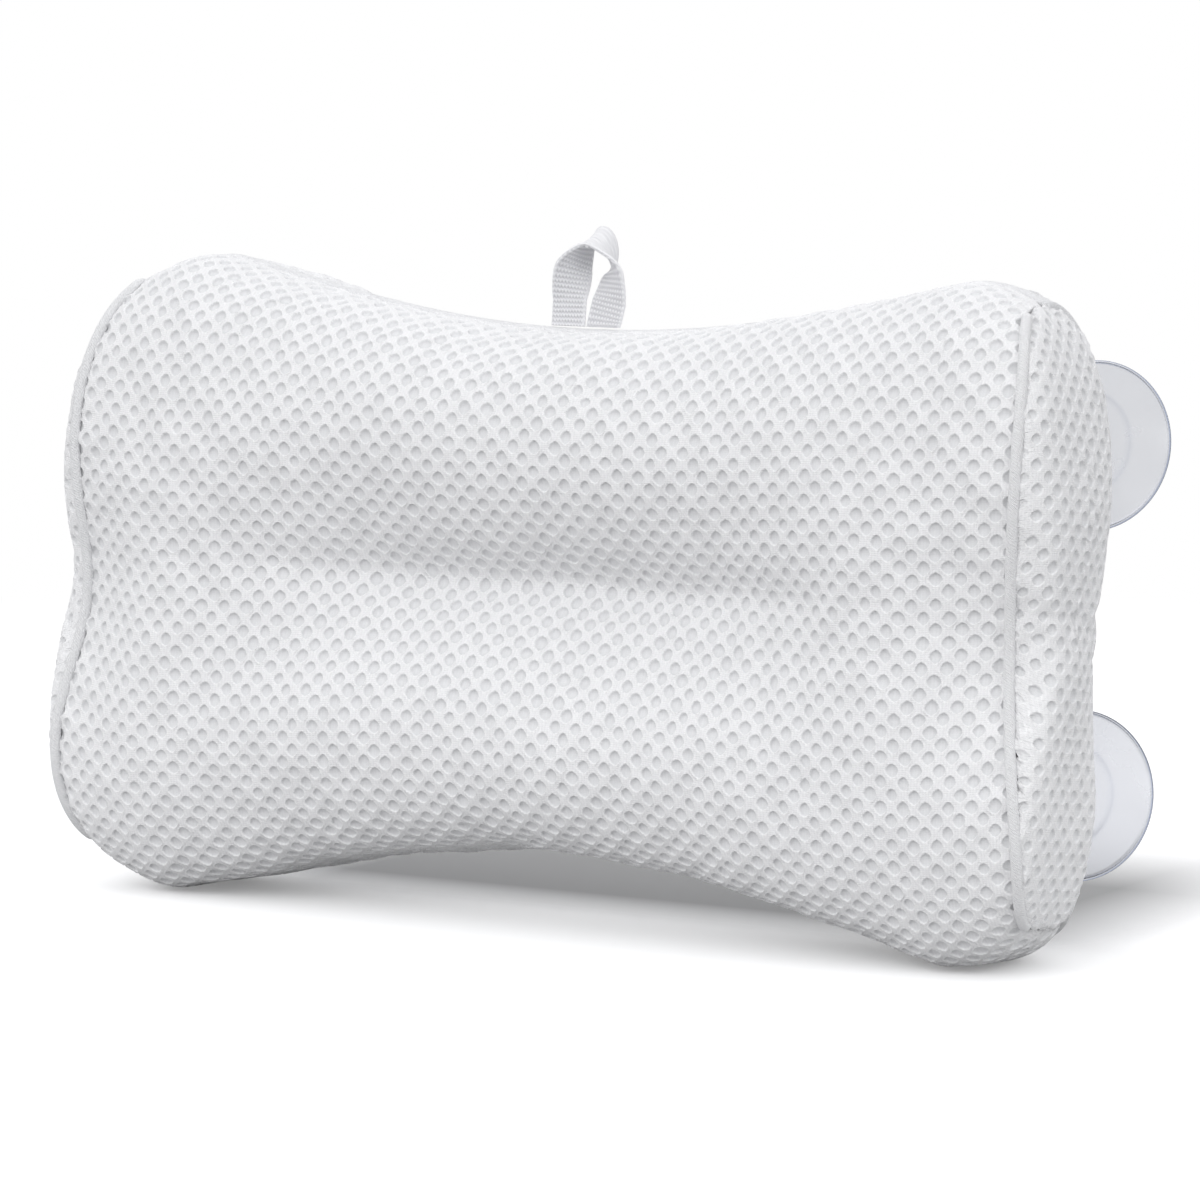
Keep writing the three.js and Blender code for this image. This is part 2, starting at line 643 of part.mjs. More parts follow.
// The washer that the barrel is set into, on the inner side of the cloth
function washerGeometry() {
  const bore = eyeletBarrel + pieceGap;
  return turnedGeometry([
    [bore, washerFace],
    [eyeletRadius, washerFace],
    [eyeletRadius, washerSeat - pieceGap],
    [bore, washerSeat - pieceGap],
    [bore, washerFace],
  ], eyeletTurns);
}

// What is taken out of the cloth for one eyelet: a seat for each flange and the hole of the barrel
function clothCut() {
  const seat = eyeletRadius + pieceGap;
  const hole = eyeletBarrel + pieceGap;
  return turnedGeometry([
    [0, -cutOverrun],
    [seat, -cutOverrun],
    [seat, washerSeat],
    [hole, washerSeat],
    [hole, flangeSeat],
    [seat, flangeSeat],
    [seat, cutOverrun],
    [0, cutOverrun],
  ], eyeletTurns);
}

// What is taken out of the foam: a pocket for the washer and the head
function foamCut() {
  const pocket = eyeletRadius + 2 * pieceGap;
  return turnedGeometry([
    [0, -pocketDepth],
    [pocket, -pocketDepth],
    [pocket, cutOverrun],
    [0, cutOverrun],
  ], eyeletTurns);
}

// Each cup's own frame: its axis along +Y and its origin on the cloth's face
const cupPlaces = cupSeats.map(({ name, x, y, z }) => ({
  name,
  matrix: new THREE.Matrix4().makeRotationX(-radians(cupTiltDegrees)).setPosition(x, y, z),
}));

// Joins and cuts
const wasm = await Module();
wasm.setup();

function solidOf(geometry, matrix = new THREE.Matrix4()) {
  const moved = facingOut(geometry.clone()).applyMatrix4(matrix);
  for (const name of Object.keys(moved.attributes)) {
    if (name !== 'position') moved.deleteAttribute(name);
  }
  const merged = mergeVertices(moved, hair);
  return new wasm.Manifold(new wasm.Mesh({
    numProp: 3,
    vertProperties: merged.attributes.position.array,
    triVerts: new Uint32Array(merged.index.array),
  }));
}

function geometryOf(solid) {
  const mesh = solid.getMesh();
  const geometry = new THREE.BufferGeometry();
  geometry.setAttribute('position', new THREE.BufferAttribute(mesh.vertProperties, 3));
  geometry.setIndex(new THREE.BufferAttribute(mesh.triVerts, 1));
  return geometry;
}

const cutAtCups = (geometry, cut) => geometryOf(
  cupPlaces.reduce((solid, place) => solid.subtract(solidOf(cut, place.matrix)), solidOf(geometry)));

// Materials
const cloth = (color, roughness = 0.95) =>
  new THREE.MeshStandardMaterial({ color, roughness, metalness: 0 });
const meshCloth = cloth(0xf2f2f4);
const cordCloth = cloth(0xeeeef0, 0.8);
const tapeCloth = cloth(0xf0f0f2, 0.85);
const foam = cloth(0xe4e6ea, 1);
const clearPlastic = new THREE.MeshStandardMaterial({
  color: 0xdfe3ea, roughness: 0.12, metalness: 0, transparent: true, opacity: 0.45 });
const whitePlastic = new THREE.MeshStandardMaterial({ color: 0xf4f4f4, roughness: 0.4 });

// The lean, shared by every piece
const lean = new THREE.Matrix4().makeRotationX(-radians(leanDegrees));

// The undersides of the lobes are pressed flat where they stand: the cloth is cut level there
function cutOnFloor(geometry) {
  const upright = lean.clone().invert();
  const leaned = new THREE.Box3().setFromBufferAttribute(
    geometry.clone().applyMatrix4(lean).attributes.position);
  const size = leaned.getSize(new THREE.Vector3());
  const below = new THREE.BoxGeometry(...size.clone().multiplyScalar(2));
  below.translate(0, 0, leaned.min.z + floorCut - size.z);
  return geometryOf(solidOf(geometry).subtract(solidOf(below, upright)));
}

// Assembly
const pillow = new THREE.Group();
const add = (name, geometry, material, matrix) => {
  const mesh = new THREE.Mesh(facingOut(geometry), material);
  mesh.name = name;
  if (matrix) mesh.applyMatrix4(matrix);
  pillow.add(mesh);
};
add('front_panel', cutOnFloor(
  sheetGeometry(leftSeamColumn + 1, rightSeamColumn - 1, 1, topSeamRow - 1)), meshCloth);
add('back_panel', cutAtCups(
  sheetGeometry(leftSeamColumn + 1, rightSeamColumn - 1, topSeamRow + 1, rows.length - 1),
  clothCut()), meshCloth);
add('end_panel_left', endPanelGeometry(-1), meshCloth);
add('end_panel_right', endPanelGeometry(1), meshCloth);
add('foam_core', cutAtCups(coreGeometry(), foamCut()), foam);
add('piping_left', pipingGeometry(-1), cordCloth);
add('piping_right', pipingGeometry(1), cordCloth);
add('back_binding', bindingGeometry(), cordCloth);
add('hanging_loop', loopGeometry(), tapeCloth);
for (const { name, matrix } of cupPlaces) {
  add(`suction_cup_${name}`, cupGeometry(), clearPlastic, matrix);
  add(`eyelet_${name}`, eyeletGeometry(), whitePlastic, matrix);
  add(`eyelet_washer_${name}`, washerGeometry(), whitePlastic, matrix);
}
pillow.applyMatrix4(lean);

// The part's frame: origin under the middle of the whole, on the floor
const part = new THREE.Group();
part.add(pillow);
part.updateMatrixWorld(true);
const bounds = new THREE.Box3().setFromObject(part, true);
part.position.set(
  -(bounds.min.x + bounds.max.x) / 2, -(bounds.min.y + bounds.max.y) / 2, -bounds.min.z);

export default part;
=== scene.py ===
# A bath pillow of pitted spacer mesh, sewn from four panels round a foam core, with corded seams, a
# hanging loop of webbing and four clear suction cups. Lengths are in millimetres until a shape is
# stood in its place, in metres, by stand().
import json
import math
import bpy
import numpy as np
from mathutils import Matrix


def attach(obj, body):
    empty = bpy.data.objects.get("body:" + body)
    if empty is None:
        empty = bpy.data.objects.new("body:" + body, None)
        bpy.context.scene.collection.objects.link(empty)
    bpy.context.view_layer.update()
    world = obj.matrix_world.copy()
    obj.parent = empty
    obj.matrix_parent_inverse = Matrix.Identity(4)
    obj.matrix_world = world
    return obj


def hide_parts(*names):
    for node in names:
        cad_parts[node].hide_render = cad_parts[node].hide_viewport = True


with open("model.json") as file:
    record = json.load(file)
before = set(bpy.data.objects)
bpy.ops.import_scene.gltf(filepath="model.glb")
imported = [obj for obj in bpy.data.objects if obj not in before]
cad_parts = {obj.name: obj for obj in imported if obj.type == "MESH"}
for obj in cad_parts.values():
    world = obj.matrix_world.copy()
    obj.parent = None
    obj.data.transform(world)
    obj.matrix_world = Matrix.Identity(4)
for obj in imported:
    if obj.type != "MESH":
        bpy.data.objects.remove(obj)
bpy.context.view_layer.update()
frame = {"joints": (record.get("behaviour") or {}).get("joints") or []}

# Foam core
# A block of open-cell foam cut to the pillow's form a little smaller, with a pocket behind each eyelet
# for the head of its cup. It's cut on a contour saw and slid in before the last seam is sewn. Its form
# has a lobe at each end, a hollow for the neck and a waist, and every piece takes its place from it,
# worked out upright round the pillow's own middle.
HALF_LENGTH, HALF_HEIGHT, LEAN = 161.8, 95.9, math.radians(7.9)
CUP_X, CUP_Z, CUP_TILT = 136.3, (55.0, -46.6), math.radians(2.6)
SEAT_HALF, SEAT_FADE_X, SEAT_FADE_Z = 9.2, 8.5, 17
# Front and back thin by their taper past a share of the length. A section's power is 2 for an ellipse
# and higher for a squarer one.
FRONT_DEPTH, FRONT_TAPER, FRONT_TAPER_FROM, FRONT_POWER = 41.6, 4.8, 0.37, 2.22
BACK_DEPTH, BACK_TAPER, BACK_TAPER_FROM = 47.2, 29.2, 0.494
UPPER_BACK_POWER, LOWER_BACK_POWER = 3.6, 5.6
END_LEAN, UPPER_CORNER_CUT, LOWER_CORNER_CUT = 4.9, 9.3, 6.9
WAIST_Z, WAIST_SPAN, WAIST_SINK, WAIST_DRAWN_IN = -10.2, 34.9, 10.8, 5.6
LOBE_FROM, LOBE_FILLS = 0.45, 0.55
NECK_Z, NECK_SINK, NECK_REACH, NECK_UP, NECK_DOWN = 3, 13.5, 84, 28, 25
CREASE_SINK, CREASE_SPAN, DEPTH_GROWS = 3.2, 8, 0.07
# Long edges: the share of the length where a lobe is furthest out, how far the waist dips in from
# there, and how far the corners fall back
TOP_EDGE, BOTTOM_EDGE = (0.863, 18.3, 4.9), (0.821, 20.6, 10.6)
DOME_POWER, DOME_SWELL, END_MIDDLE_Y = 2.33, 7.3, -9.4


def bell(distance, width):
    """A bell of height 1: e to the power of minus the square of distance over width."""
    return np.exp(-(distance / width) ** 2)


def smooth(t):
    """0 up to t = 0 and 1 from t = 1, and between them three t squared less two t cubed."""
    t = np.clip(t, 0, 1)
    return t * t * (3 - 2 * t)


def stuffed(u, phi):
    """Point at share u of the half length and angle phi round the section: 0 faces the front, a
    quarter turn is the top. Each section is a superellipse between its top, bottom, front and back. Its
    front is pressed in by bells at the waist, less so over the lobes, and at the neck. The ends are
    drawn in at the waist and the corners, and the form grows deeper towards its top."""
    u, phi = np.broadcast_arrays(np.asarray(u, float), np.asarray(phi, float))
    s = np.abs(u)

    def edge(lobe, dip, drop):
        """Height of a long edge: a rounded dip between the lobes and a drop past them."""
        return (HALF_HEIGHT - dip * np.maximum(0, 1 - (s / lobe) ** 2) ** 1.19
                - drop * np.clip((s - lobe) / (1 - lobe), 0, 1) ** 2)

    top, bottom = edge(*TOP_EDGE), -edge(*BOTTOM_EDGE)
    front = FRONT_DEPTH - FRONT_TAPER * np.clip((s - FRONT_TAPER_FROM) / (1 - FRONT_TAPER_FROM), 0, 1) ** 2
    back = BACK_DEPTH - BACK_TAPER * np.clip((s - BACK_TAPER_FROM) / (1 - BACK_TAPER_FROM), 0, 1) ** 6
    c, n = np.cos(phi), np.sin(phi)
    faces_front = c >= 0
    back_power = np.where(n > 0, UPPER_BACK_POWER, LOWER_BACK_POWER)
    power = np.where(faces_front, FRONT_POWER + 0.3 * s ** 2, back_power)
    reach = (np.abs(c) ** power + np.abs(n) ** power) ** (-1 / power)
    across, up = reach * c, reach * n
    z = bottom + (top - bottom) * (1 + up) / 2
    waist = bell(z - WAIST_Z, WAIST_SPAN)
    over_lobe = np.sin(math.pi * np.clip((s - LOBE_FROM) / (1 - LOBE_FROM), 0, 1) ** 1.4) ** 2
    rise = z - NECK_Z
    neck = (NECK_SINK * np.exp(-np.abs(rise / np.where(rise > 0, NECK_UP, NECK_DOWN)) ** 1.5)
            + CREASE_SINK * bell(rise, CREASE_SPAN))
    sink = (WAIST_SINK * waist * (1 - LOBE_FILLS * over_lobe)
            + neck * np.exp(-(u * HALF_LENGTH / NECK_REACH) ** 4))
    y = np.where(faces_front, -front * across + sink * np.abs(across) ** 0.65, -back * across)
    length = (HALF_LENGTH - END_LEAN * z / HALF_HEIGHT - WAIST_DRAWN_IN * waist
              - np.where(up > 0, UPPER_CORNER_CUT, LOWER_CORNER_CUT) * np.abs(up) ** 6)
    return np.stack([u * length, y * (1 + DEPTH_GROWS * z / HALF_HEIGHT), z], -1)


def back_angle(u, z):
    """Angle round the back where the section at share u is at height z."""
    at = stuffed(u, np.radians([90.0, 270.0]))
    up = (2 * z - at[0, 2] - at[1, 2]) / (at[0, 2] - at[1, 2])
    power = UPPER_BACK_POWER if up > 0 else LOWER_BACK_POWER
    return math.pi - math.atan2(up, (1 - abs(up) ** power) ** (1 / power))


# The point of the back where each cup's axis leaves it
cup_seats = {}
for height, z in zip(("upper", "lower"), CUP_Z):
    for end, side in (("left", -1), ("right", 1)):
        u = side * CUP_X / HALF_LENGTH
        cup_seats[f"{height}_{end}"] = stuffed(u, back_angle(abs(u), z))


def cover(u, phi):
    """The stuffed form, drawn flat and square to each cup's axis round its eyelet."""
    point = stuffed(u, phi)

    def fade(distance, width):
        """1 as far as the flat seat reaches, and smoothly down to 0 over width past it."""
        return 1 - smooth((np.abs(distance) - SEAT_HALF) / width)

    behind = np.cos(phi) < 0
    for seat in cup_seats.values():
        weight = (fade(point[..., 0] - seat[0], SEAT_FADE_X) * fade(point[..., 2] - seat[2], SEAT_FADE_Z)
                  * behind)
        flat = seat[1] + (point[..., 2] - seat[2]) * math.tan(CUP_TILT)
        point[..., 1] += weight * (flat - point[..., 1])
    return point


def end_dome(side, rise, phi):
    """Point of an end panel: a low dome over its seam; rise is 0 at the seam and 1 in the middle."""
    rim = cover(side * np.ones_like(np.asarray(phi, float)), phi)
    share = np.maximum(0, 1 - rise ** DOME_POWER) ** (1 / DOME_POWER)
    at = stuffed(side, np.radians([0.0, 90.0, 180.0, 270.0]))
    middle = np.array([side * HALF_LENGTH, END_MIDDLE_Y, (at[1, 2] + at[3, 2]) / 2])
    out = middle + (rim - middle) * share[..., None]
    out[..., 0] = middle[0] + (rim[..., 0] - middle[0]) * share ** 3 + side * DOME_SWELL * rise
    return out


# The pillow's middle in the part's own frame, from where its loop folds. The cord in the top seam lies
# partly in it, and the loop's foot and fold stand just over the cord.
BACK_CORD_RADIUS, BACK_CORD_SUNK, LOOP_FOOT, LOOP_FOLD = 1.3, 0.7, 0.3, 1.9
loop_joint = next(j for j in frame["joints"] if j["name"] == "loop_fold")
SEAM_TOP = float(stuffed(0.11, math.pi / 2)[2]) + BACK_CORD_RADIUS - BACK_CORD_SUNK
FOLD_HEIGHT = SEAM_TOP + LOOP_FOOT + LOOP_FOLD
turn = np.array([[1, 0, 0], [0, math.cos(LEAN), math.sin(LEAN)], [0, -math.sin(LEAN), math.cos(LEAN)]])
middle = np.array(loop_joint["pos_m"]) - turn @ np.array([0, 0, FOLD_HEIGHT]) / 1000
LOWEST = 0.0002


def stand(points):
    """Lean points in millimetres back and stand them in the part's frame, in metres, pressed flat
    where they would reach the floor."""
    out = np.asarray(points) @ turn.T / 1000 + middle
    out[..., 2] = np.maximum(out[..., 2], LOWEST)
    return out


def mesh_piece(name, points, faces, uv=None, values=None, shaded_smooth=True):
    """A mesh object of its own from points in metres and rows of point numbers, turned to face away
    from its middle. uv is the place on the cloth of each point, or of each corner of each face."""
    corner = points[faces]
    normal = np.cross(corner[:, 1] - corner[:, 0], corner[:, 2] - corner[:, 0])
    if (normal * (corner.mean(1) - points.mean(0))).sum() < 0:
        faces = faces[:, ::-1]
        uv = uv[:, ::-1] if uv is not None and uv.ndim == 3 else uv
    mesh = bpy.data.meshes.new(name)
    counts = np.full(len(faces), faces.shape[1])
    mesh.vertices.add(len(points))
    mesh.vertices.foreach_set("co", points.astype(np.float32).ravel())
    mesh.loops.add(faces.size)
    mesh.loops.foreach_set("vertex_index", faces.astype(np.int32).ravel())
    mesh.polygons.add(len(faces))
    mesh.polygons.foreach_set("loop_start", (np.cumsum(counts) - counts).astype(np.int32))
    mesh.update(calc_edges=True)
    if uv is not None:
        at_corners = uv if uv.ndim == 3 else uv[faces]
        mesh.uv_layers.new(name="cloth").data.foreach_set("uv", at_corners.astype(np.float32).ravel())
    for key, value in (values or {}).items():
        mesh.attributes.new(key, "FLOAT", "POINT").data.foreach_set("value", value.astype(np.float32))
    mesh.polygons.foreach_set("use_smooth", np.full(len(mesh.polygons), shaded_smooth))
    mesh.validate()
    piece = bpy.data.objects.new(name, mesh)
    bpy.context.scene.collection.objects.link(piece)
    return piece


def lofted(rings, closed=False):
    """A skin over closed rings in order: two triangles for each cell, and a fan to its middle over each
    end, unless the last ring joins the first. Also gives each corner's place as row and column."""
    rows, columns = rings.shape[:2]
    row = np.arange(rows if closed else rows - 1)[:, None, None, None]
    column = np.arange(columns)[None, :, None, None]
    step = np.array([[(0, 0), (1, 0), (1, 1)], [(0, 0), (1, 1), (0, 1)]])
    places = np.stack(np.broadcast_arrays(row + step[..., 0], column + step[..., 1]), -1).reshape(-1, 3, 2)
    faces = places[..., 0] % rows * columns + places[..., 1] % columns
    points = rings.reshape(-1, 3)
    if not closed:
        k, half = np.arange(columns), np.arange(columns) + 0.5
        for last, (a, b) in ((0, (k, k + 1)), (rows - 1, (k + 1, k))):
            at = np.full(columns, float(last))
            fan = np.stack([last * columns + a % columns, last * columns + b % columns,
                            np.full(columns, len(points))], -1)
            faces = np.concatenate([faces, fan])
            places = np.concatenate([places, np.stack([np.stack([at, a], -1), np.stack([at, b], -1),
                                                       np.stack([at, half], -1)], 1)])
            points = np.concatenate([points, rings[last].mean(0, keepdims=True)])
    return points, faces, places


class Sum:
    """A value inside a material: + - * and / add Math nodes, node() adds any other node."""

    def __init__(self, tree, socket):
        self.tree, self.socket = tree, socket

    def node(self, kind, settings=None, output=0, **inputs):
        """The output of a new node of this kind. Its settings are set first. An input is named as its
        socket is, with _ for a space, or by its number after one letter."""
        made = self.tree.nodes.new("ShaderNode" + kind)
        for key, value in (settings or {}).items():
            if key == "stops":
                ramp = made.color_ramp
                while len(ramp.elements) < len(value):
                    ramp.elements.new(0.5)
                for element, (place, colour) in zip(ramp.elements, value):
                    element.position, element.color = place, colour
            else:
                setattr(made, key, value)
        for key, value in inputs.items():
            slot = made.inputs[int(key[1:]) if key[1:].isdigit() else key.replace("_", " ")]
            if isinstance(value, Sum):
                self.tree.links.new(value.socket, slot)
            else:
                slot.default_value = value
        return Sum(self.tree, made.outputs[output])

    def math(self, operation, *others):
        return self.node("Math", {"operation": operation}, i0=self,
                         **{f"i{k + 1}": other for k, other in enumerate(others)})

    def __add__(self, other):
        return self.math("ADD", other)

    def __mul__(self, other):
        return self.math("MULTIPLY", other)

    __radd__, __rmul__ = __add__, __mul__

    def __sub__(self, other):
        return self.math("SUBTRACT", other)

    def __rsub__(self, other):
        return self.node("Math", {"operation": "SUBTRACT"}, i0=other, i1=self)

    def __truediv__(self, other):
        return self.math("DIVIDE", other)

    def sin(self):
        return self.math("SINE")

    def abs(self):
        return self.math("ABSOLUTE")

    def clamped(self):
        return self.node("Clamp", None, 0, Value=self)

    def output(self, which):
        """Another output of the node that this value comes from."""
        return Sum(self.tree, self.socket.node.outputs[which])

    def mixed(self, first, second):
        """The colour first where this value is 0 and second where it is 1. In a Mix node the sockets
        numbered 6 and 7 and the output numbered 2 are those for colours."""
        return self.node("Mix", {"data_type": "RGBA"}, 2, Factor=self, i6=first, i7=second)


def new_material(name, **constants):
    """A material whose constant finish is set on the shader's own sockets; returns it with a start
    for its sums and a function that feeds what varies."""
    material = bpy.data.materials.new(name)
    material.use_nodes = True
    tree = material.node_tree
    shader = next(n for n in tree.nodes if n.type == "BSDF_PRINCIPLED")
    for key, value in constants.items():
        shader.inputs[key.replace("_", " ")].default_value = value

    def feed(**sums):
        """Links each sum to the shader's socket of that name."""
        for key, value in sums.items():
            tree.links.new(value.socket, shader.inputs[key.replace("_", " ")])

    return material, Sum(tree, None), feed


OBJECT_PLACE = 3  # the output of a Texture Coordinate node that gives the place on the object, in metres
foam_paint, sums, feed = new_material("open_cell_foam", Roughness=1.0)
spot = sums.node("TexCoord", None, OBJECT_PLACE)
cells = sums.node("TexVoronoi", {"feature": "F1"}, 0, Vector=spot, Scale=900.0)
pores = sums.node("TexNoise", None, 0, Vector=spot, Scale=420.0, Detail=4.0)
feed(Base_Color=(cells * 1.2 + pores * 0.5 - 0.2).clamped().mixed(
        (0.50, 0.51, 0.53, 1), (0.84, 0.85, 0.87, 1)),
     Normal=sums.node("Bump", None, 0, Strength=0.8, Distance=0.0006, Height=cells + pores * 0.4))

# Rings of the cover's form, each point drawn in towards a flat plate in the pillow's middle by the
# foam's clearance, and behind the eyelets by the pocket's depth as well.
FOAM_CLEARANCE, POCKET_DEPTH, POCKET_RADIUS, POCKET_SLOPE = 5.6, 7.5, 10, 4
PLATE_HALF_LENGTH, PLATE_HALF_HEIGHT, PLATE_Y = 118, 45, 3.0
AROUND, END_SHARE = 180, 0.985
round_foam = np.linspace(-math.pi, math.pi, AROUND, endpoint=False)
dome_rises = np.sqrt(1 - (END_SHARE * np.sin(np.linspace(0.06, 1, 12) * math.pi / 2)) ** 2)
foam_rings = np.array(
    [end_dome(-1, np.full(AROUND, rise), round_foam) for rise in dome_rises]
    + [cover(np.full(AROUND, u), round_foam) for u in np.linspace(-END_SHARE, END_SHARE, 96)]
    + [end_dome(1, np.full(AROUND, rise), round_foam) for rise in dome_rises[::-1]])
plate = np.stack([np.clip(foam_rings[..., 0], -PLATE_HALF_LENGTH, PLATE_HALF_LENGTH),
                  np.full(foam_rings.shape[:2], PLATE_Y),
                  np.clip(foam_rings[..., 2], -PLATE_HALF_HEIGHT, PLATE_HALF_HEIGHT)], -1)
inward = (foam_rings - plate) / np.linalg.norm(foam_rings - plate, axis=-1, keepdims=True)
deep = np.full(foam_rings.shape[:2], FOAM_CLEARANCE)
for seat in cup_seats.values():
    off = np.hypot(foam_rings[..., 0] - seat[0], foam_rings[..., 2] - seat[2])
    deep += POCKET_DEPTH * (1 - smooth((off - POCKET_RADIUS) / POCKET_SLOPE)) * (foam_rings[..., 1] > 0)
foam_points, foam_faces, _ = lofted(foam_rings - inward * deep[..., None])
foam = mesh_piece("foam_block", stand(foam_points), foam_faces)
foam.data.materials.append(foam_paint)
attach(foam, "pillow")
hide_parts("foam_core")

# Front and back panels
# Two large panels of spacer mesh, a cloth whose face is pierced by round pits in a diamond lattice, with
# thin raised rims and a knitted floor. The floors and the grooves between the pits are painted darker as
# shade. The front one runs from the top seam over the lobes and the hollow and under the pillow to the
# bottom seam, and the back one closes it. They're cut from the flat cloth, sewn inside out and turned.
CELL_X, CELL_Y, PIT_RADIUS, PIT_DEPTH = 7.15, 7.02, 1.9, 0.75
FACE_DEPTH, GROOVE_DEPTH, GROOVE_SHADE, TURNED_IN = 0.06, 0.26, -0.35, 3.0
# A pit's rings from its raised rim to its foot: how much wider than the pit, how deep, how much painted
# shade
PIT_RINGS = ((0.27, -0.03, 0.0), (0.0, 0.16, 0.25), (-0.1, PIT_DEPTH, 1.0))
# The 12 points of a cell's border, in sixths of the lattice's steps from the cell's middle
ring_keys = np.array([(3, 0), (2, 1), (1, 2), (0, 3), (-1, 2), (-2, 1), (-3, 0), (-2, -1), (-1, -2),
                      (0, -3), (1, -2), (2, -1)])
SIDES = len(ring_keys)
# How much the pits' places, sizes, proportions and edges vary, and how far their edges are squared
PLACE_VARIES, SIZE_VARIES, SHAPE_VARIES, EDGE_VARIES, SQUARED = 0.1, 0.035, 0.04, 0.02, 0.06
# Lengths over which the pits open beside the band, shrink towards a seam, and the crimps run out
OPENS_OVER, SHRINKS_OVER, CRIMPED_OVER = 1.4, 9, 3.2
SMALLEST_FACE = 1e-5


def pitted_cloth(name, low, high, place, inset, seed, band, gathered):
    """A sheet over cloth coordinates from low to high. Each diamond cell of the lattice is a ring of
    12 points on its border, a raised rim, the pit's edge, its foot and its floor. inset(x, y) is the
    distance in from the nearest seam; cells past a seam are drawn back onto it, and within band(x, y)
    of it the pits close. Near a seam they're smaller by the share gathered, and the cloth is crimped.
    place(x, y, depth) puts the points on the pillow. The pits' places and sizes vary a little."""
    rng = np.random.default_rng(seed)
    i0, j0 = math.floor(low[0] / CELL_X), math.floor(low[1] / CELL_Y)
    i1, j1 = math.ceil(high[0] / CELL_X), math.ceil(high[1] / CELL_Y)
    centres = np.concatenate([
        np.stack(np.meshgrid(np.arange(i0, i1 + 1) * 6, np.arange(j0, j1 + 1) * 6), -1).reshape(-1, 2),
        np.stack(np.meshgrid(np.arange(i0, i1) * 6 + 3, np.arange(j0, j1) * 6 + 3), -1).reshape(-1, 2)])
    unit = np.array([CELL_X, CELL_Y]) / 6
    centres = centres[inset(*(centres * unit).T) > -1.2 * CELL_Y]
    count = len(centres)
    # shared points on the cells' borders
    keys = centres[:, None, :] + ring_keys[None]
    flat = keys.reshape(-1, 2)
    code = (flat[:, 0] + 5000) * 20000 + flat[:, 1] + 5000  # one number for each place in the lattice
    _, first, inverse = np.unique(code, return_index=True, return_inverse=True)
    border = flat[first] * unit
    # each cell's own rings
    where = centres * unit + rng.normal(0, PLACE_VARIES, (count, 2))
    open_share = np.clip((inset(*where.T) - band(*where.T)) / OPENS_OVER, 0, 1)
    drawn_in = 1 - gathered * np.exp(-np.maximum(inset(*where.T), 0) / SHRINKS_OVER)
    size = PIT_RADIUS * (1 + rng.normal(0, SIZE_VARIES, count)) * drawn_in
    stretch = 1 + rng.normal(0, SHAPE_VARIES, (count, 2))
    angle = np.radians(np.arange(SIDES) * 30.0)
    wobble = 1 + rng.normal(0, EDGE_VARIES, (count, SIDES)) + SQUARED * np.cos(4 * angle)
    # Each point's weight of painted shade: below 0 in the grooves, up to 1 on a pit's floor
    rings, depths = [border], [np.full(len(border), GROOVE_DEPTH)]
    pits = [np.full(len(border), GROOVE_SHADE)]
    for grow, depth, pit in PIT_RINGS:
        radius = (size[:, None] * wobble + grow)[..., None]
        ring = where[:, None] + radius * stretch[:, None] * np.stack([np.cos(angle), np.sin(angle)], -1)
        rings.append(ring.reshape(-1, 2))
        depths.append(np.repeat(FACE_DEPTH + (depth - FACE_DEPTH) * open_share, SIDES))
        pits.append(np.repeat(pit * open_share, SIDES))
    rings.append(where)
    depths.append(FACE_DEPTH + (PIT_DEPTH + 0.1) * open_share)
    pits.append(open_share)
    xy, depth, pit = np.concatenate(rings), np.concatenate(depths), np.concatenate(pits)
    # faces: quads from ring to ring as two triangles each, and a fan on the floor
    start = len(border)
    at = [inverse.reshape(count, SIDES)] + [
        start + k * count * SIDES + np.arange(count * SIDES).reshape(count, SIDES) for k in range(3)]
    centre = start + 3 * count * SIDES + np.arange(count)[:, None]
    faces = []
    for a, b in zip(at, at[1:]):
        a2, b2 = np.roll(a, -1, 1), np.roll(b, -1, 1)
        faces += [np.stack([a, a2, b2], -1), np.stack([a, b2, b], -1)]
    faces.append(np.stack([at[3], np.roll(at[3], -1, 1), np.broadcast_to(centre, at[3].shape)], -1))
    faces = np.concatenate([f.reshape(-1, 3) for f in faces])
    outside = inset(*xy.T) <= 0
    faces = faces[~outside[faces].all(1)]
    points = place(xy[:, 0], xy[:, 1], depth)
    corner = points[faces]
    area = np.linalg.norm(np.cross(corner[:, 1] - corner[:, 0], corner[:, 2] - corner[:, 0]), axis=1)
    faces = faces[area > SMALLEST_FACE]
    # the cut edge is turned in along the seam
    edges = np.concatenate([faces[:, [0, 1]], faces[:, [1, 2]], faces[:, [2, 0]]])
    ordered = np.sort(edges, 1)
    _, index, times = np.unique(ordered[:, 0] * len(points) + ordered[:, 1], return_index=True,
                                return_counts=True)
    rim = edges[index[times == 1]]
    rim_points = np.unique(rim)
    renumber = np.zeros(len(points), int)
    renumber[rim_points] = len(points) + np.arange(len(rim_points))
    turned = place(xy[rim_points, 0], xy[rim_points, 1], depth[rim_points] + TURNED_IN)
    points = np.concatenate([points, turned])
    xy = np.concatenate([xy, xy[rim_points]])
    pit = np.concatenate([pit, np.zeros(len(rim_points))])
    a, b = rim.T
    faces = np.concatenate([faces, np.stack([b, a, renumber[a]], -1),
                            np.stack([b, renumber[a], renumber[b]], -1)])
    used = np.unique(faces)
    renumber = np.zeros(len(points), int)
    renumber[used] = np.arange(len(used))
    crimp = np.exp(-np.maximum(inset(*xy[used].T), 0) / CRIMPED_OVER) * gathered
    return mesh_piece(name, stand(points[used]), renumber[faces], uv=xy[used] / 100,
                      values={"pit": pit[used], "crimp": crimp})


def ripple(x, y, waves):
    """Soft unevenness of stuffed cloth: a sum of slanted sine waves (length, height, slant, start)."""
    return sum(h * np.sin(2 * math.pi * (x * math.cos(a) + y * math.sin(a)) / l + p)
               for l, h, a, p in waves)


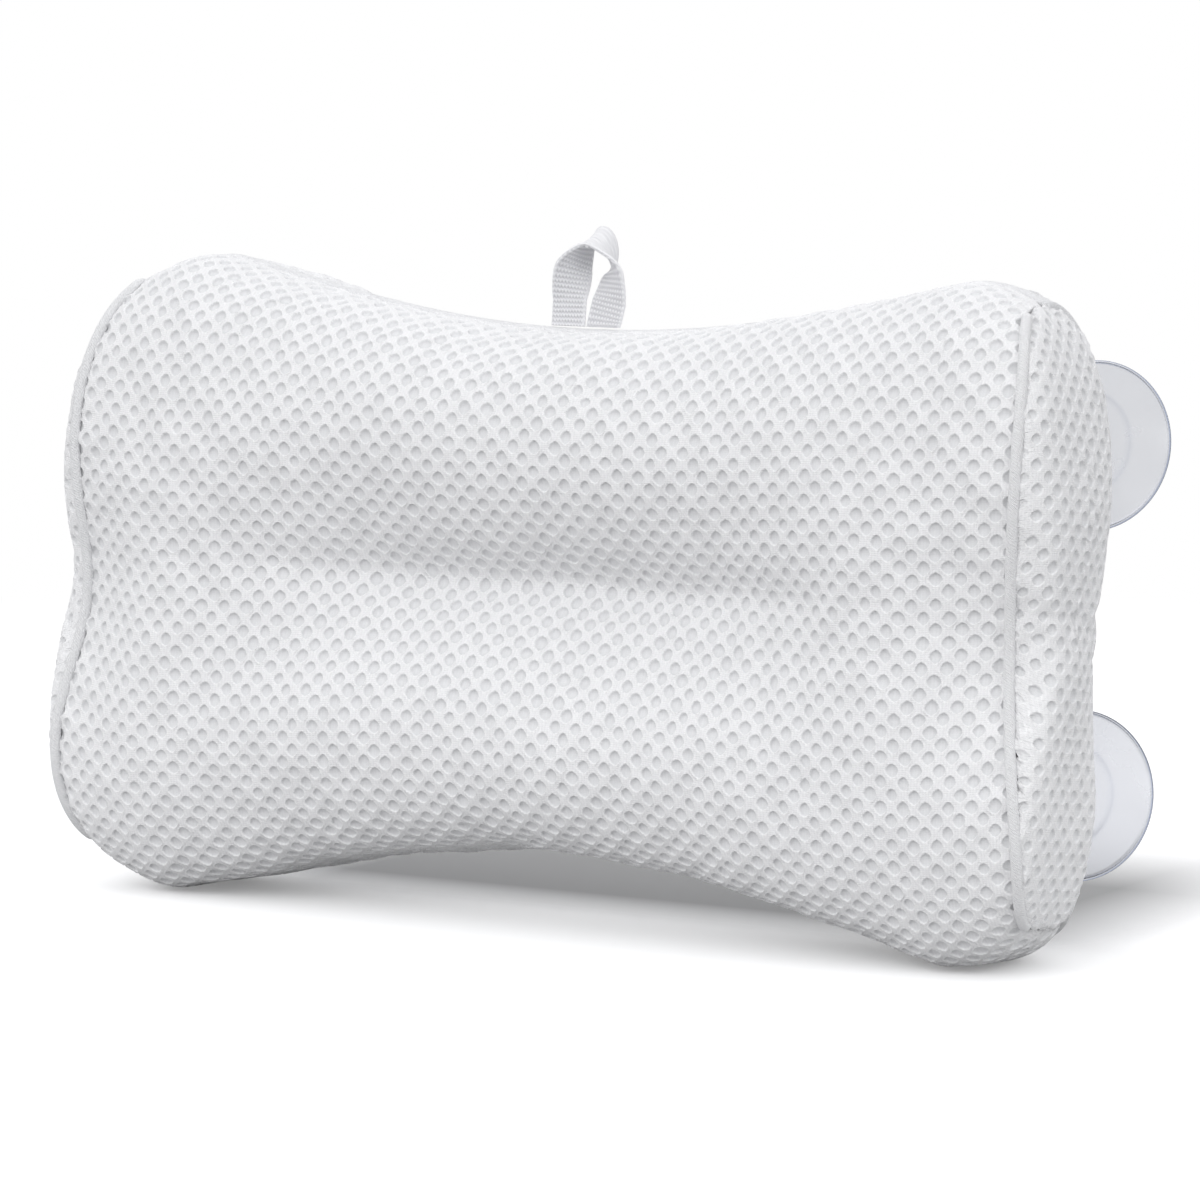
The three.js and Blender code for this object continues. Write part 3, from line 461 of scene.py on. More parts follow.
stuffing_waves = [(61, 0.35, 0.4, 0.3), (43, 0.28, 1.9, 1.1), (87, 0.5, 1.2, 2.2), (29, 0.14, 2.7, 0.7)]
gather_waves = [(9.5, 0.5, 0, 0.4), (14.3, 0.45, 0, 2.0), (6.1, 0.22, 0, 1.3)]
crimp_waves = [(3.3, 0.3, 0, 0.2), (4.7, 0.35, 0, 1.7)]
TUCKS_OVER, CRIMPS_OVER, DEEPEST_PULL = 7, 2.2, 1.6


def seam_pull(distance, along, deep, reach, gathers):
    """How far the cloth lies under the stuffed form near a seam: it rolls in to the stitches by deep,
    which fades over reach, and is gathered there in tucks and finer crimps that run out over about a
    centimetre. It never lies lower than DEEPEST_PULL."""
    distance = np.maximum(distance, 0)
    tucks = ripple(along, 0, gather_waves) * np.exp(-distance / TUCKS_OVER)
    crimps = ripple(along, 0, crimp_waves) * np.exp(-distance / CRIMPS_OVER)
    return np.minimum(deep * np.exp(-distance / reach) + (tucks + crimps) * gathers, DEEPEST_PULL)


# The knit's wales and courses, in millimetres, with painted shade in the pits' floors and grooves, and
# crimps at the seams
WALE, COURSE = 0.95, 0.62
cloth, sums, feed = new_material("spacer_mesh", Roughness=0.92, Sheen_Weight=0.25, Sheen_Roughness=0.5)
uv = sums.node("UVMap", {"uv_map": "cloth"})
axes = sums.node("SeparateXYZ", None, 0, Vector=uv)
across_cloth, along_cloth = axes * 100, axes.output(1) * 100
# How much painted shade a point takes: up to 1 on a pit's floor, below 0 in a groove
pit = sums.node("Attribute", {"attribute_name": "pit"}, 2)
wale = (across_cloth * (2 * math.pi / WALE)).sin()
course = (along_cloth * (2 * math.pi / COURSE) + wale.abs() * 1.6).sin()
knit = (wale * 0.5 + 0.5) * 0.55 + (course * 0.5 + 0.5) * 0.45
grain = sums.node("TexNoise", {"noise_dimensions": "3D"}, 0, Vector=uv, Scale=240.0, Detail=3.0)
crimp = sums.node("Attribute", {"attribute_name": "crimp"}, 2)
squiggles = sums.node("TexNoise", None, 0, Vector=uv, Scale=75.0, Detail=1.5, Distortion=1.2)
face_colour = (knit * 0.7 + grain * 0.5 - 0.1).clamped().mixed(
    (0.86, 0.86, 0.87, 1), (0.96, 0.96, 0.965, 1))
# Painted shade: the pits' floors are coloured a darker grey and the grooves between them a little darker
pit_floor_painted_shade = (knit * 0.3 + grain * 0.7).clamped().mixed(
    (0.71, 0.715, 0.725, 1), (0.82, 0.825, 0.835, 1))
groove_painted_shade = (0.80, 0.80, 0.815, 1)
both = pit.clamped().mixed((0 - pit).clamped().mixed(face_colour, groove_painted_shade), pit_floor_painted_shade)
height = knit * (0.8 - pit.clamped() * 0.6) + grain * 0.35 + crimp * squiggles * 18.0
feed(Base_Color=both, Roughness=(0.97 - knit * 0.1),
     Normal=sums.node("Bump", None, 0, Strength=0.55, Distance=0.00035, Height=height))


def away(surface, a, b, outward_of=None):
    """Unit normal of surface(a, b), from small steps of both parameters, turned away from the pillow's
    middle or from the point outward_of."""
    h = 1e-4
    da = surface(a + h, b) - surface(a - h, b)
    db = surface(a, b + h) - surface(a, b - h)
    n = np.cross(da, db)
    n /= np.maximum(np.linalg.norm(n, axis=-1, keepdims=True), 1e-12)
    p = surface(a, b)
    inner = np.array([0.0, 3.0, 0.0]) if outward_of is None else outward_of
    return n * np.sign(((p - inner) * n).sum(-1, keepdims=True))


# The angle round the section at which the bottom seam lies under the back
BOTTOM_SEAM_DEPTH = 38.0
ACROSS = BOTTOM_SEAM_DEPTH / BACK_DEPTH
BOTTOM_ANGLE = -math.pi / 2 - math.atan2(ACROSS, (1 - ACROSS ** LOWER_BACK_POWER) ** (1 / LOWER_BACK_POWER))


def read_grid(table, a, b):
    """Values of a table at fractional rows a and columns b, read between its four nearest places."""
    a = np.clip(a, 0, table.shape[0] - 1.001)
    b = np.clip(b, 0, table.shape[1] - 1.001)
    i, j = a.astype(int), b.astype(int)
    a, b = a - i, b - j
    if table.ndim == 3:
        a, b = a[:, None], b[:, None]
    return ((1 - a) * ((1 - b) * table[i, j] + b * table[i, j + 1])
            + a * ((1 - b) * table[i + 1, j] + b * table[i + 1, j + 1]))


class Wrapped:
    """Cloth wrapped round the form between two angles. Cloth x is the length of cloth along the line at
    the angle zero_at, from the middle; cloth y is the length round the section from that line."""

    def __init__(self, first, last, zero_at):
        shares = np.linspace(-1.15, 1.15, 1841)
        run = np.linalg.norm(np.diff(cover(shares, zero_at), axis=0), axis=1)
        self.run = np.concatenate([[0], np.cumsum(run)]) - run.sum() / 2
        self.places = shares * cover(1.0, zero_at)[0]
        self.u = np.linspace(-1, 1, 161)
        phi = np.linspace(first, last, 901)
        line = cover(self.u[:, None], phi[None])
        arc = np.zeros((len(self.u), len(phi)))
        arc[:, 1:] = np.cumsum(np.linalg.norm(np.diff(line, axis=1), axis=2), 1)
        zero = np.argmin(np.abs(phi - zero_at))
        arc -= arc[:, zero:zero + 1]
        self.low, self.high = arc[:, 0], arc[:, -1]
        self.steps = np.linspace(self.low.min(), self.high.max(), 1200)
        self.angles = np.array([np.interp(self.steps, row, phi) for row in arc])
        self.ends = (phi, cover(1.0, phi)[:, 0])

    def angle(self, u, y):
        """Angle round the section at share u of the length and cloth y."""
        return read_grid(self.angles, (u + 1) / 2 * (len(self.u) - 1),
                         (y - self.steps[0]) / (self.steps[1] - self.steps[0]))

    def where(self, x, y):
        """Share of the length and angle for a place on the cloth, and how far that is from the lower
        edge, the upper edge and the end. The length's own change round the section is taken up in
        three rounds."""
        x = np.interp(x, self.run, self.places)
        u = np.clip(x / HALF_LENGTH, -1, 1)
        for _ in range(3):
            low, high = np.interp(u, self.u, self.low), np.interp(u, self.u, self.high)
            phi = self.angle(u, np.clip(y, low, high))
            u = np.clip(x / np.interp(phi, *self.ends), -1, 1)
        return u, phi, y - low, high - y, np.interp(phi, *self.ends) - np.abs(x)


# The piping lies in an end seam between these angles in degrees, and fades out over some more
PIPED_FROM, PIPED_TO, PIPED_FADE = -71.0, 61.5, 6.5
BACK_SLOT, CLOSED_SLOT, PIPING_SLOT = 0.3, 0.02, 0.38


def piped(phi):
    """1 where an end seam holds its piping, 0 past the place where that is tucked in."""
    turned = np.mod(phi + math.pi / 2, 2 * math.pi) - math.pi / 2
    past = np.maximum(turned - math.radians(PIPED_TO), math.radians(PIPED_FROM) - turned)
    return 1 - smooth(past / math.radians(PIPED_FADE))


def cord_margin(phi):
    """Half the slot in an end seam, under its cord; past the piping the seam is nearly closed."""
    behind = (phi > math.pi / 2) | (phi < BOTTOM_ANGLE)
    return np.where(behind, BACK_SLOT, CLOSED_SLOT + PIPING_SLOT * piped(phi))


def wrapped_panel(name, node, wrap, low, high, seed):
    """A panel of pitted cloth wrapped round the form, sewn along its long edges and at both ends."""
    edge_margin = 0.95
    end_band, less_if_piped, top_band, bottom_band = 1.3, 2.1, 2.3, 0.3
    calm = 20  # the stuffing's ripple grows to its height over this distance from a seam

    def inset(x, y):
        """Distance in from the nearest seam, less half its slot."""
        _, phi, below, above, end = wrap.where(x, y)
        return np.minimum(np.minimum(below, above) - edge_margin, end - cord_margin(phi))

    def place(x, y, depth):
        """The form's point less its normal times depth, the seams' pull and the stuffing's ripple,
        and moved as the stuffed cover is."""
        u, phi, *_ = wrap.where(x, y)
        side_x, margin = np.interp(phi, *wrap.ends), cord_margin(phi)
        u = np.clip(u, -1 + margin / side_x, 1 - margin / side_x)
        low_y, high_y = np.interp(u, wrap.u, wrap.low), np.interp(u, wrap.u, wrap.high)
        y = np.clip(y, low_y + edge_margin, high_y - edge_margin)
        phi = wrap.angle(u, y)
        end = side_x * (1 - np.abs(u))
        edge = np.minimum(y - low_y, high_y - y)
        depth = (depth + seam_pull(end, y, deep=1.5, reach=4.0, gathers=0.6)
                 + seam_pull(edge, x, deep=0.8, reach=3.0, gathers=0.25)
                 + ripple(x, y, stuffing_waves) * smooth(np.minimum(end, edge) / calm))
        blown = read_grid(cloth_moves["body"], (u + 1) * (LONG - 1) / 2, column_of(phi))
        return cover(u, phi) - away(cover, u, phi) * depth[:, None] + blown

    def band(x, y):
        """Width of the plain cloth beside a seam: none at the piping, and widest at the top seam."""
        _, phi, below, above, end = wrap.where(x, y)
        edge = np.minimum(below, above)
        top = np.abs(phi - math.pi / 2) < 0.5
        return np.where(end < edge, end_band - less_if_piped * piped(phi),
                        np.where(top, top_band, bottom_band))

    piece = pitted_cloth(name, low, high, place, inset, seed, band, gathered=0.08)
    piece.data.materials.append(cloth)
    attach(piece, "pillow")
    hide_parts(node)


# The grid on which the stuffing is worked out: rings along, points round each ring, rings of an end
LONG, ROUND, DOME = 121, 160, 12
FRAMES, FURTHEST_MOVE, LIGHT_HOLD, SEAM_HOLD = 20, 5, 0.3, 1.0


def stuffed_cloth():
    """The sewn cover blown up by the foam: a closed grid of the form, held along its seams and lightly
    everywhere else, under pressure as a cloth. Returns what it moves each grid point by, in
    millimetres, for the body and for each end from its seam to its middle."""
    us, rises = np.linspace(-1, 1, LONG), 1 - np.linspace(1, 0.04, DOME) ** 1.6
    turn_at = np.linspace(BOTTOM_ANGLE, BOTTOM_ANGLE + 2 * math.pi, ROUND + 1)[:-1]
    turn_at[np.argmin(np.abs(turn_at - math.pi / 2))] = math.pi / 2
    body = cover(us[:, None], turn_at[None])
    domes = {side: np.stack([end_dome(side, np.full(ROUND, r), turn_at) for r in rises])
             for side in (-1, 1)}
    rings = np.concatenate([domes[-1][:0:-1], body, domes[1][1:]])
    first, last = DOME - 1, DOME + LONG - 2

    def shared_out(moves):
        """The moves of all rings, taken apart into the body's and those of the two ends."""
        return {"rises": rises, "phi": turn_at, "body": moves[first:last + 1],
                -1: moves[:DOME][::-1], 1: moves[last:]}

    points = np.concatenate([rings.reshape(-1, 3), rings[:1].mean(1), rings[-1:].mean(1)]) / 1000
    here = np.arange(len(rings) * ROUND).reshape(-1, ROUND)
    beside = np.roll(here, -1, 1)
    quads = np.stack([here[:-1], here[1:], beside[1:], beside[:-1]], -1).reshape(-1, 4)
    first_end = np.stack([np.full(ROUND, len(points) - 2), beside[0], here[0]], -1)
    last_end = np.stack([np.full(ROUND, len(points) - 1), here[-1], beside[-1]], -1)
    mesh = bpy.data.meshes.new("stuffing")
    mesh.from_pydata(points.tolist(), [], quads.tolist() + first_end.tolist() + last_end.tolist())
    blown = bpy.data.objects.new("stuffing", mesh)
    bpy.context.scene.collection.objects.link(blown)
    hold = np.full(rings.shape[:2], LIGHT_HOLD)
    hold[:, [0, int(np.argmin(np.abs(turn_at - math.pi / 2)))]] = SEAM_HOLD
    hold[[first, last]] = SEAM_HOLD
    pins = blown.vertex_groups.new(name="pins")
    for weight in (LIGHT_HOLD, SEAM_HOLD):
        chosen = np.flatnonzero(np.append(hold.ravel(), [LIGHT_HOLD, LIGHT_HOLD]) == weight)
        pins.add(chosen.tolist(), weight, "REPLACE")
    # a light, springy cloth with a little room to grow and a small pressure inside, without its weight
    cloth_modifier = blown.modifiers.new("cloth", "CLOTH")
    knobs = cloth_modifier.settings
    knobs.quality, knobs.mass, knobs.air_damping = 6, 0.25, 2.0
    knobs.tension_stiffness = knobs.compression_stiffness = 18
    knobs.shear_stiffness, knobs.bending_stiffness = 8, 30
    knobs.vertex_group_mass, knobs.pin_stiffness = "pins", 1.2
    knobs.use_pressure, knobs.uniform_pressure_force = True, 4.0
    knobs.shrink_min = -0.006
    knobs.effector_weights.gravity = 0
    cloth_modifier.collision_settings.use_collision = False
    cloth_modifier.point_cache.frame_start, cloth_modifier.point_cache.frame_end = 1, FRAMES
    for frame_number in range(1, FRAMES + 1):
        bpy.context.scene.frame_set(frame_number)
    done = blown.evaluated_get(bpy.context.evaluated_depsgraph_get()).to_mesh()
    after = np.empty(len(points) * 3, np.float32)
    done.vertices.foreach_get("co", after)
    shift = (after.reshape(-1, 3)[:-2].reshape(rings.shape) - rings / 1000) * 1000
    blown.evaluated_get(bpy.context.evaluated_depsgraph_get()).to_mesh_clear()
    bpy.data.objects.remove(blown)
    bpy.data.meshes.remove(mesh)
    bpy.context.scene.frame_set(1)
    size = np.linalg.norm(shift, axis=2, keepdims=True)
    shift *= np.minimum(1, FURTHEST_MOVE / np.maximum(size, 1e-6))
    return shared_out(shift)


# The first column again after the last one, so that readings run on round the ring
cloth_moves = stuffed_cloth()
for part_name in ("body", -1, 1):
    cloth_moves[part_name] = np.concatenate([cloth_moves[part_name], cloth_moves[part_name][:, :1]], 1)
phi_lines = np.append(cloth_moves["phi"], BOTTOM_ANGLE + 2 * math.pi)


def column_of(phi):
    """The column of the stuffing's grid, with its fraction, at an angle round the section."""
    phi = BOTTOM_ANGLE + np.mod(phi - BOTTOM_ANGLE, 2 * math.pi)
    return np.interp(phi, phi_lines, np.arange(ROUND + 1))


front_wrap = Wrapped(BOTTOM_ANGLE, math.pi / 2, 0.0)
back_wrap = Wrapped(math.pi / 2, BOTTOM_ANGLE + 2 * math.pi, math.pi)
wrapped_panel("front_cloth", "front_panel", front_wrap, (-200, -150), (200, 130), 11)
wrapped_panel("back_cloth", "back_panel", back_wrap, (-205, -150), (205, 150), 12)


# End panels
# A narrower panel of the same mesh closes each end. It's sewn to the front with a corded seam and
# swells out past it in a low dome; close to the cord its pits are gathered and half shut.
END_RADIUS, INNER_X, READINGS = 55, 120.0, 200


def dome_of(side):
    """The end's dome as a surface of rise and angle, for away()."""
    return lambda rise, phi: end_dome(side, np.clip(rise, 0, 1), phi)


def end_panel(side, name, node, seed):
    """A panel of pitted cloth over an end's dome. Cloth x and y are the two parts of the distance
    from its middle, along the dome, in the direction seen from the end."""
    plain_band, less_if_piped, calm = 1.6, 0.9, 25
    at = stuffed(side, np.radians([0.0, 90.0, 180.0, 270.0]))
    middle_z = (at[1, 2] + at[3, 2]) / 2
    phi = np.linspace(BOTTOM_ANGLE, BOTTOM_ANGLE + 2 * math.pi, 1441)
    rim = cover(float(side), phi)
    heading = np.unwrap(np.arctan2(rim[:, 2] - middle_z, rim[:, 1] - END_MIDDLE_Y))
    order = np.argsort(heading)
    rises = 1 - np.linspace(0, 1, 121) ** 1.6
    meridian = np.stack([end_dome(side, np.full_like(phi, r), phi) for r in rises])
    length = np.zeros((len(rises), len(phi)))
    length[1:] = np.cumsum(np.linalg.norm(np.diff(meridian, axis=0), axis=2), 0)
    full = length[-1]
    outline = full[order], heading[order]
    slope = np.gradient(outline[0], outline[1]) / outline[0]
    squareness = np.interp(heading, outline[1], 1 / np.sqrt(1 + slope ** 2))
    shares = np.linspace(0, 1, READINGS)
    rise_table = np.array([np.interp(shares, column / column[-1], rises) for column in length.T])

    def where(x, y):
        """Angle round the end, distance from the middle, that of the seam, and the share of it that
        counts square to the seam."""
        around = np.arctan2(y, x)
        around = heading.min() + np.mod(around - heading.min(), 2 * math.pi)
        phi_at = np.interp(around, heading[order], phi[order], period=2 * math.pi)
        phi_at = BOTTOM_ANGLE + np.mod(phi_at - BOTTOM_ANGLE, 2 * math.pi)
        square = np.interp(phi_at, phi, squareness)
        return phi_at, np.hypot(x, y), np.interp(phi_at, phi, full), square

    def inset(x, y):
        """Distance in from the seam, square to it, less half its slot."""
        phi_at, s, reach, square = where(x, y)
        return (reach - s) * square - cord_margin(phi_at)

    def place(x, y, depth):
        """The dome's point, drawn in and moved as on the large panels."""
        phi_at, s, reach, square = where(x, y)
        s = np.minimum(s, reach - cord_margin(phi_at) / square)
        rise = read_grid(rise_table, (phi_at - phi[0]) / (phi[1] - phi[0]), s / reach * (READINGS - 1))
        outward = away(dome_of(side), np.clip(rise, 2e-3, 0.995), phi_at,
                       np.array([side * INNER_X, END_MIDDLE_Y, middle_z]))
        depth = (depth + seam_pull(reach - s, phi_at * END_RADIUS, deep=1.6, reach=4.5, gathers=1.0)
                 + ripple(x, y, stuffing_waves) * smooth((reach - s) / calm) * 0.8)
        line = np.interp(rise, cloth_moves["rises"], np.arange(DOME))
        blown = read_grid(cloth_moves[side], line, column_of(phi_at))
        return dome_of(side)(rise, phi_at) - outward * depth[:, None] + blown

    def band(x, y):
        """Width of the plain cloth beside the seam, less where it holds the piping."""
        return plain_band - less_if_piped * piped(where(x, y)[0])

    piece = pitted_cloth(name, (-120, -120), (120, 120), place, inset, seed, band, gathered=0.35)
    piece.data.materials.append(cloth)
    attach(piece, "pillow")
    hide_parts(node)


end_panel(-1, "end_cloth_left", "end_panel_left", 13)
end_panel(1, "end_cloth_right", "end_panel_right", 14)

# Corded seams
# A cotton cord wrapped in a bias strip of fine knit is caught in the front seam of each end panel and
# round the whole back panel. The two front ones are tucked into the seam at the corners.
TWILL, CORD_RIB = 0.55, 0.8
cord_paint, sums, feed = new_material("cord_knit", Roughness=0.85, Sheen_Weight=0.3)
uv = sums.node("UVMap", {"uv_map": "cloth"})
axes = sums.node("SeparateXYZ", None, 0, Vector=uv)
run, round_it = axes * 100, axes.output(1) * 100
twill = ((run + round_it) * (2 * math.pi / TWILL)).sin()
rib = ((run - round_it * 0.6) * (2 * math.pi / CORD_RIB)).sin()
fuzz = sums.node("TexNoise", None, 0, Vector=uv, Scale=120.0, Detail=5.0)
weave = (twill * 0.5 + 0.5) * 0.6 + (rib * 0.5 + 0.5) * 0.4
feed(Base_Color=(weave * 0.5 + fuzz * 1.3 - 0.45).clamped().mixed(
        (0.86, 0.865, 0.88, 1), (0.99, 0.99, 0.995, 1)),
     Normal=sums.node("Bump", None, 0, Strength=0.8, Distance=0.0004, Height=weave * 0.8 + fuzz * 1.2))


def cord(name, node, path, outward, radius, closed):
    """A tube round a path: rings of points in the plane square to the run, with a radius for each point
    of the path, each ring turned so that one axis follows the cloth's outward direction. Cloth
    coordinates run along and round."""
    count, sides, round_step = len(path), 20, 0.5
    if closed:
        run = np.roll(path, -1, 0) - np.roll(path, 1, 0)
    else:
        run = np.gradient(path, axis=0)
    run /= np.linalg.norm(run, axis=1, keepdims=True)
    up = outward - (outward * run).sum(1, keepdims=True) * run
    up /= np.linalg.norm(up, axis=1, keepdims=True)
    side = np.cross(run, up)
    angle = np.arange(sides) * 2 * math.pi / sides
    rings = (path[:, None] + radius[:, None, None] * (
        np.cos(angle)[None, :, None] * side[:, None] + np.sin(angle)[None, :, None] * up[:, None]))
    along = np.concatenate([[0], np.cumsum(np.linalg.norm(np.diff(path, axis=0), axis=1))])
    points, faces, places = lofted(rings, closed)
    along = np.append(along, along[-1] + along[1])
    uv = np.stack([np.interp(places[..., 0], np.arange(count + 1), along),
                   places[..., 1] * round_step], -1) / 100
    piece = mesh_piece(name, stand(points), faces, uv=uv)
    piece.data.materials.append(cord_paint)
    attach(piece, "pillow")
    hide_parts(node)


# The piping of an end runs from one angle in degrees to the other. Near both it dives and thins.
PIPING_RADIUS, PIPING_SUNK, PIPING_DIVE = 1.6, 0.75, 3.3
PIPING_FROM, PIPING_TO, DIVE_LOW, DIVE_HIGH, DIVE_RUN = -80, 70.5, -72.5, 63, 7.5
for side, end in ((-1, "left"), (1, "right")):
    phi = np.radians(np.linspace(PIPING_FROM, PIPING_TO, 450))
    seam = cover(float(side), phi)
    outward = away(cover, np.full_like(phi, side * 0.9985), phi) + away(
        dome_of(side), np.full_like(phi, 0.02), phi, np.array([side * INNER_X, END_MIDDLE_Y, 0.0]))
    outward /= np.linalg.norm(outward, axis=1, keepdims=True)
    tuck = smooth((np.maximum(np.degrees(phi) - DIVE_HIGH, DIVE_LOW - np.degrees(phi))) / DIVE_RUN)
    path = seam - outward * (PIPING_SUNK + PIPING_DIVE * tuck)[:, None]
    cord(f"piping_cord_{end}", f"piping_{end}", path, outward, PIPING_RADIUS * (1 - 0.35 * tuck ** 3),
         closed=False)

# The cord of the back panel runs along the top seam, down behind one end, along the bottom seam and
# up behind the other, and turns each corner in a small bend.
BACK_CORD_UNDER, EVEN_STEPS, BEND_STEPS = 0.65, 2600, 24
along_u, round_phi = np.linspace(-1, 1, 500), np.linspace(math.pi / 2, BOTTOM_ANGLE + 2 * math.pi, 400)
ring_u = np.concatenate([along_u, np.ones(400), along_u[::-1], -np.ones(400)])
ring_phi = np.concatenate([np.full(500, math.pi / 2), round_phi, np.full(500, BOTTOM_ANGLE + 2 * math.pi),
                           round_phi[::-1]])
seam = cover(ring_u, ring_phi)
outward = away(cover, np.clip(ring_u, -0.997, 0.997), ring_phi)
for side in (-1, 1):
    here = ring_u == side
    outward[here] += away(dome_of(side), np.full(here.sum(), 0.03), ring_phi[here],
                          np.array([side * INNER_X, END_MIDDLE_Y, 0.0]))
steps = np.concatenate([[0], np.cumsum(np.linalg.norm(np.diff(seam, axis=0), axis=1))])
even = np.linspace(0, steps[-1], EVEN_STEPS, endpoint=False)
ring_path = np.stack([np.interp(even, steps, c) for c in seam.T], -1)
ring_out = np.stack([np.interp(even, steps, c) for c in outward.T], -1)
window = np.exp(-(np.arange(-BEND_STEPS, BEND_STEPS + 1) / 5.0) ** 2)
window /= window.sum()


def rounded_off(values):
    """A closed run of values, each the weighted mean of its neighbours."""
    held = np.concatenate([values[-BEND_STEPS:], values, values[:BEND_STEPS]])
    return np.stack([np.convolve(column, window, "valid") for column in held.T], -1)


ring_path, ring_out = rounded_off(ring_path), rounded_off(ring_out)
ring_out /= np.linalg.norm(ring_out, axis=1, keepdims=True)
cord("back_cord", "back_binding", ring_path - ring_out * BACK_CORD_UNDER, ring_out,
     np.full(EVEN_STEPS, BACK_CORD_RADIUS), closed=True)

# Hanging loop
# A woven tape with a ribbed face and firm selvedges. Its two ends are sewn into the top seam side by
# side, and it turns over once on its way, so that the outer edges meet at the front of the crown.
RIB, PICK = 1.42, 1.02
tape_paint, sums, feed = new_material("tape_weave", Roughness=0.75, Sheen_Weight=0.2)
uv = sums.node("UVMap", {"uv_map": "cloth"})
axes = sums.node("SeparateXYZ", None, 0, Vector=uv)
run, wide = axes * 100, axes.output(1) * 100
outer = sums.node("Attribute", {"attribute_name": "outer"}, 2)
edge = sums.node("Attribute", {"attribute_name": "selvedge"}, 2)
picks = (wide * (2 * math.pi / PICK)).sin()
ribs = (run * (2 * math.pi / RIB) + picks * 0.9).sin() * 0.5 + 0.5
dashes = ribs * (picks * 0.3 + 0.7)
streaks = sums.node("TexNoise", {"noise_dimensions": "3D"}, 0, Scale=1.0, Detail=2.0,
                    Vector=sums.node("Mapping", None, 0, Vector=uv, Scale=(18.0, 320.0, 1.0)))
yarn = outer.mixed(dashes.mixed((0.62, 0.62, 0.645, 1), (0.90, 0.90, 0.915, 1)),
                   ((streaks - 0.35) * 2.6).clamped().mixed((0.70, 0.70, 0.72, 1), (0.92, 0.92, 0.93, 1)))
feed(Base_Color=(edge * 0.6).mixed(yarn, (0.90, 0.90, 0.915, 1)),
     Normal=sums.node("Bump", None, 0, Strength=0.6, Distance=0.0004,
                      Height=dashes * (1 - outer) + streaks * outer * 0.8))

TAPE_WIDE, TAPE_THICK, LOOP_HIGH, LOOP_MIDDLE_X = 11.6, 1.2, 26.3, -2.5
# The shares of the tape's length where it starts to turn over and over which it turns, and how far its
# front edge hangs at the crown
TURN_START, TURN_LENGTH, FRONT_DROP = 0.13, 0.74, 8.3
foot = SEAM_TOP + LOOP_FOOT
# Across from the loop's middle, and up as a share of its height
knots = np.array([[-6, 0], [-6, 0.43], [-5.04, 0.69], [1.2, 1], [7.8, 0.69], [7.92, 0.43], [6, 0]])
knots = np.stack([LOOP_MIDDLE_X + knots[:, 0], foot + knots[:, 1] * LOOP_HIGH], -1)
padded_knots = np.concatenate([2 * knots[:1] - knots[1:2], knots, 2 * knots[-1:] - knots[-2:-1]])
gaps = np.linalg.norm(np.diff(padded_knots, axis=0), axis=1) ** 0.5
times = np.concatenate([[0], np.cumsum(gaps)])


def knot_curve(t):
    """The smooth curve through the loop's knots at times t: between two knots it is blended from the
    straight runs through the knots beside them, with times set by the root of their distance."""
    k = np.clip(np.searchsorted(times, t, "right") - 1, 1, len(times) - 3)

    def blend(a, b, ta, tb):
        """The point that is as far from a to b as t is from ta to tb."""
        share = ((t - ta) / (tb - ta))[:, None]
        return a * (1 - share) + b * share

    p = [padded_knots[k + n] for n in (-1, 0, 1, 2)]
    w = [times[k + n] for n in (-1, 0, 1, 2)]
    first, second, third = (blend(p[n], p[n + 1], w[n], w[n + 1]) for n in range(3))
    return blend(blend(first, second, w[0], w[2]), blend(second, third, w[1], w[3]), w[1], w[2])


# The curve in even steps, and at each step the way that the tape runs, its width and its thickness
raw = knot_curve(np.linspace(times[1], times[-2], 2000))
lengths = np.concatenate([[0], np.cumsum(np.linalg.norm(np.diff(raw, axis=0), axis=1))])
STEPS = 520
even = np.linspace(0, lengths[-1], STEPS)
across_at, up_at = (np.interp(even, lengths, c) for c in raw.T)
curve = np.stack([across_at, np.zeros(STEPS), up_at], -1)
run_way = np.gradient(curve, axis=0)
run_way /= np.linalg.norm(run_way, axis=1, keepdims=True)
turned_by = math.pi * np.clip((even / even[-1] - TURN_START) / TURN_LENGTH, 0, 1)
wide_way = np.stack([-np.cos(turned_by), -np.sin(turned_by), -FRONT_DROP / TAPE_WIDE * np.sin(turned_by)],
                    -1)
wide_way -= (wide_way * run_way).sum(1, keepdims=True) * run_way
wide_way[:, 2] *= smooth(np.minimum(even, even[-1] - even) / 4)
wide_way /= np.linalg.norm(wide_way, axis=1, keepdims=True)
thick_way = np.cross(run_way, wide_way)
# The tape's section: beaded near both edges and rounded off, with the ribs on one face alone
HALF_POINTS, RIB_HIGH = 25, 0.07
half = np.linspace(-1, 1, HALF_POINTS)
bead = 1 + 0.25 * np.exp(-((np.abs(half) - 0.9) / 0.06) ** 2) - 0.9 * smooth((np.abs(half) - 0.94) / 0.06)
section = np.concatenate([np.stack([half, bead], -1), np.stack([half[::-1], -bead[::-1]], -1)])
face_side = np.concatenate([np.zeros(HALF_POINTS), np.ones(HALF_POINTS)])
selvedge = smooth((np.abs(section[:, 0]) - 0.84) / 0.05)
rib_wave = (RIB_HIGH * np.sin(even * 2 * math.pi / RIB)[:, None] * (1 - selvedge)[None]
            * (1 - face_side)[None])
tape = (curve[:, None] + wide_way[:, None] * section[None, :, :1] * (TAPE_WIDE / 2)
        + thick_way[:, None] * (section[None, :, 1:] * (TAPE_THICK / 2)
                                * (1 + 2 * rib_wave[..., None] / TAPE_THICK)))
points, faces, places = lofted(tape)


def on_loft(grid):
    """Values of a grid of ring points, with one more for the middle of each end."""
    return np.append(grid.ravel(), [grid[0].mean(), grid[-1].mean()])


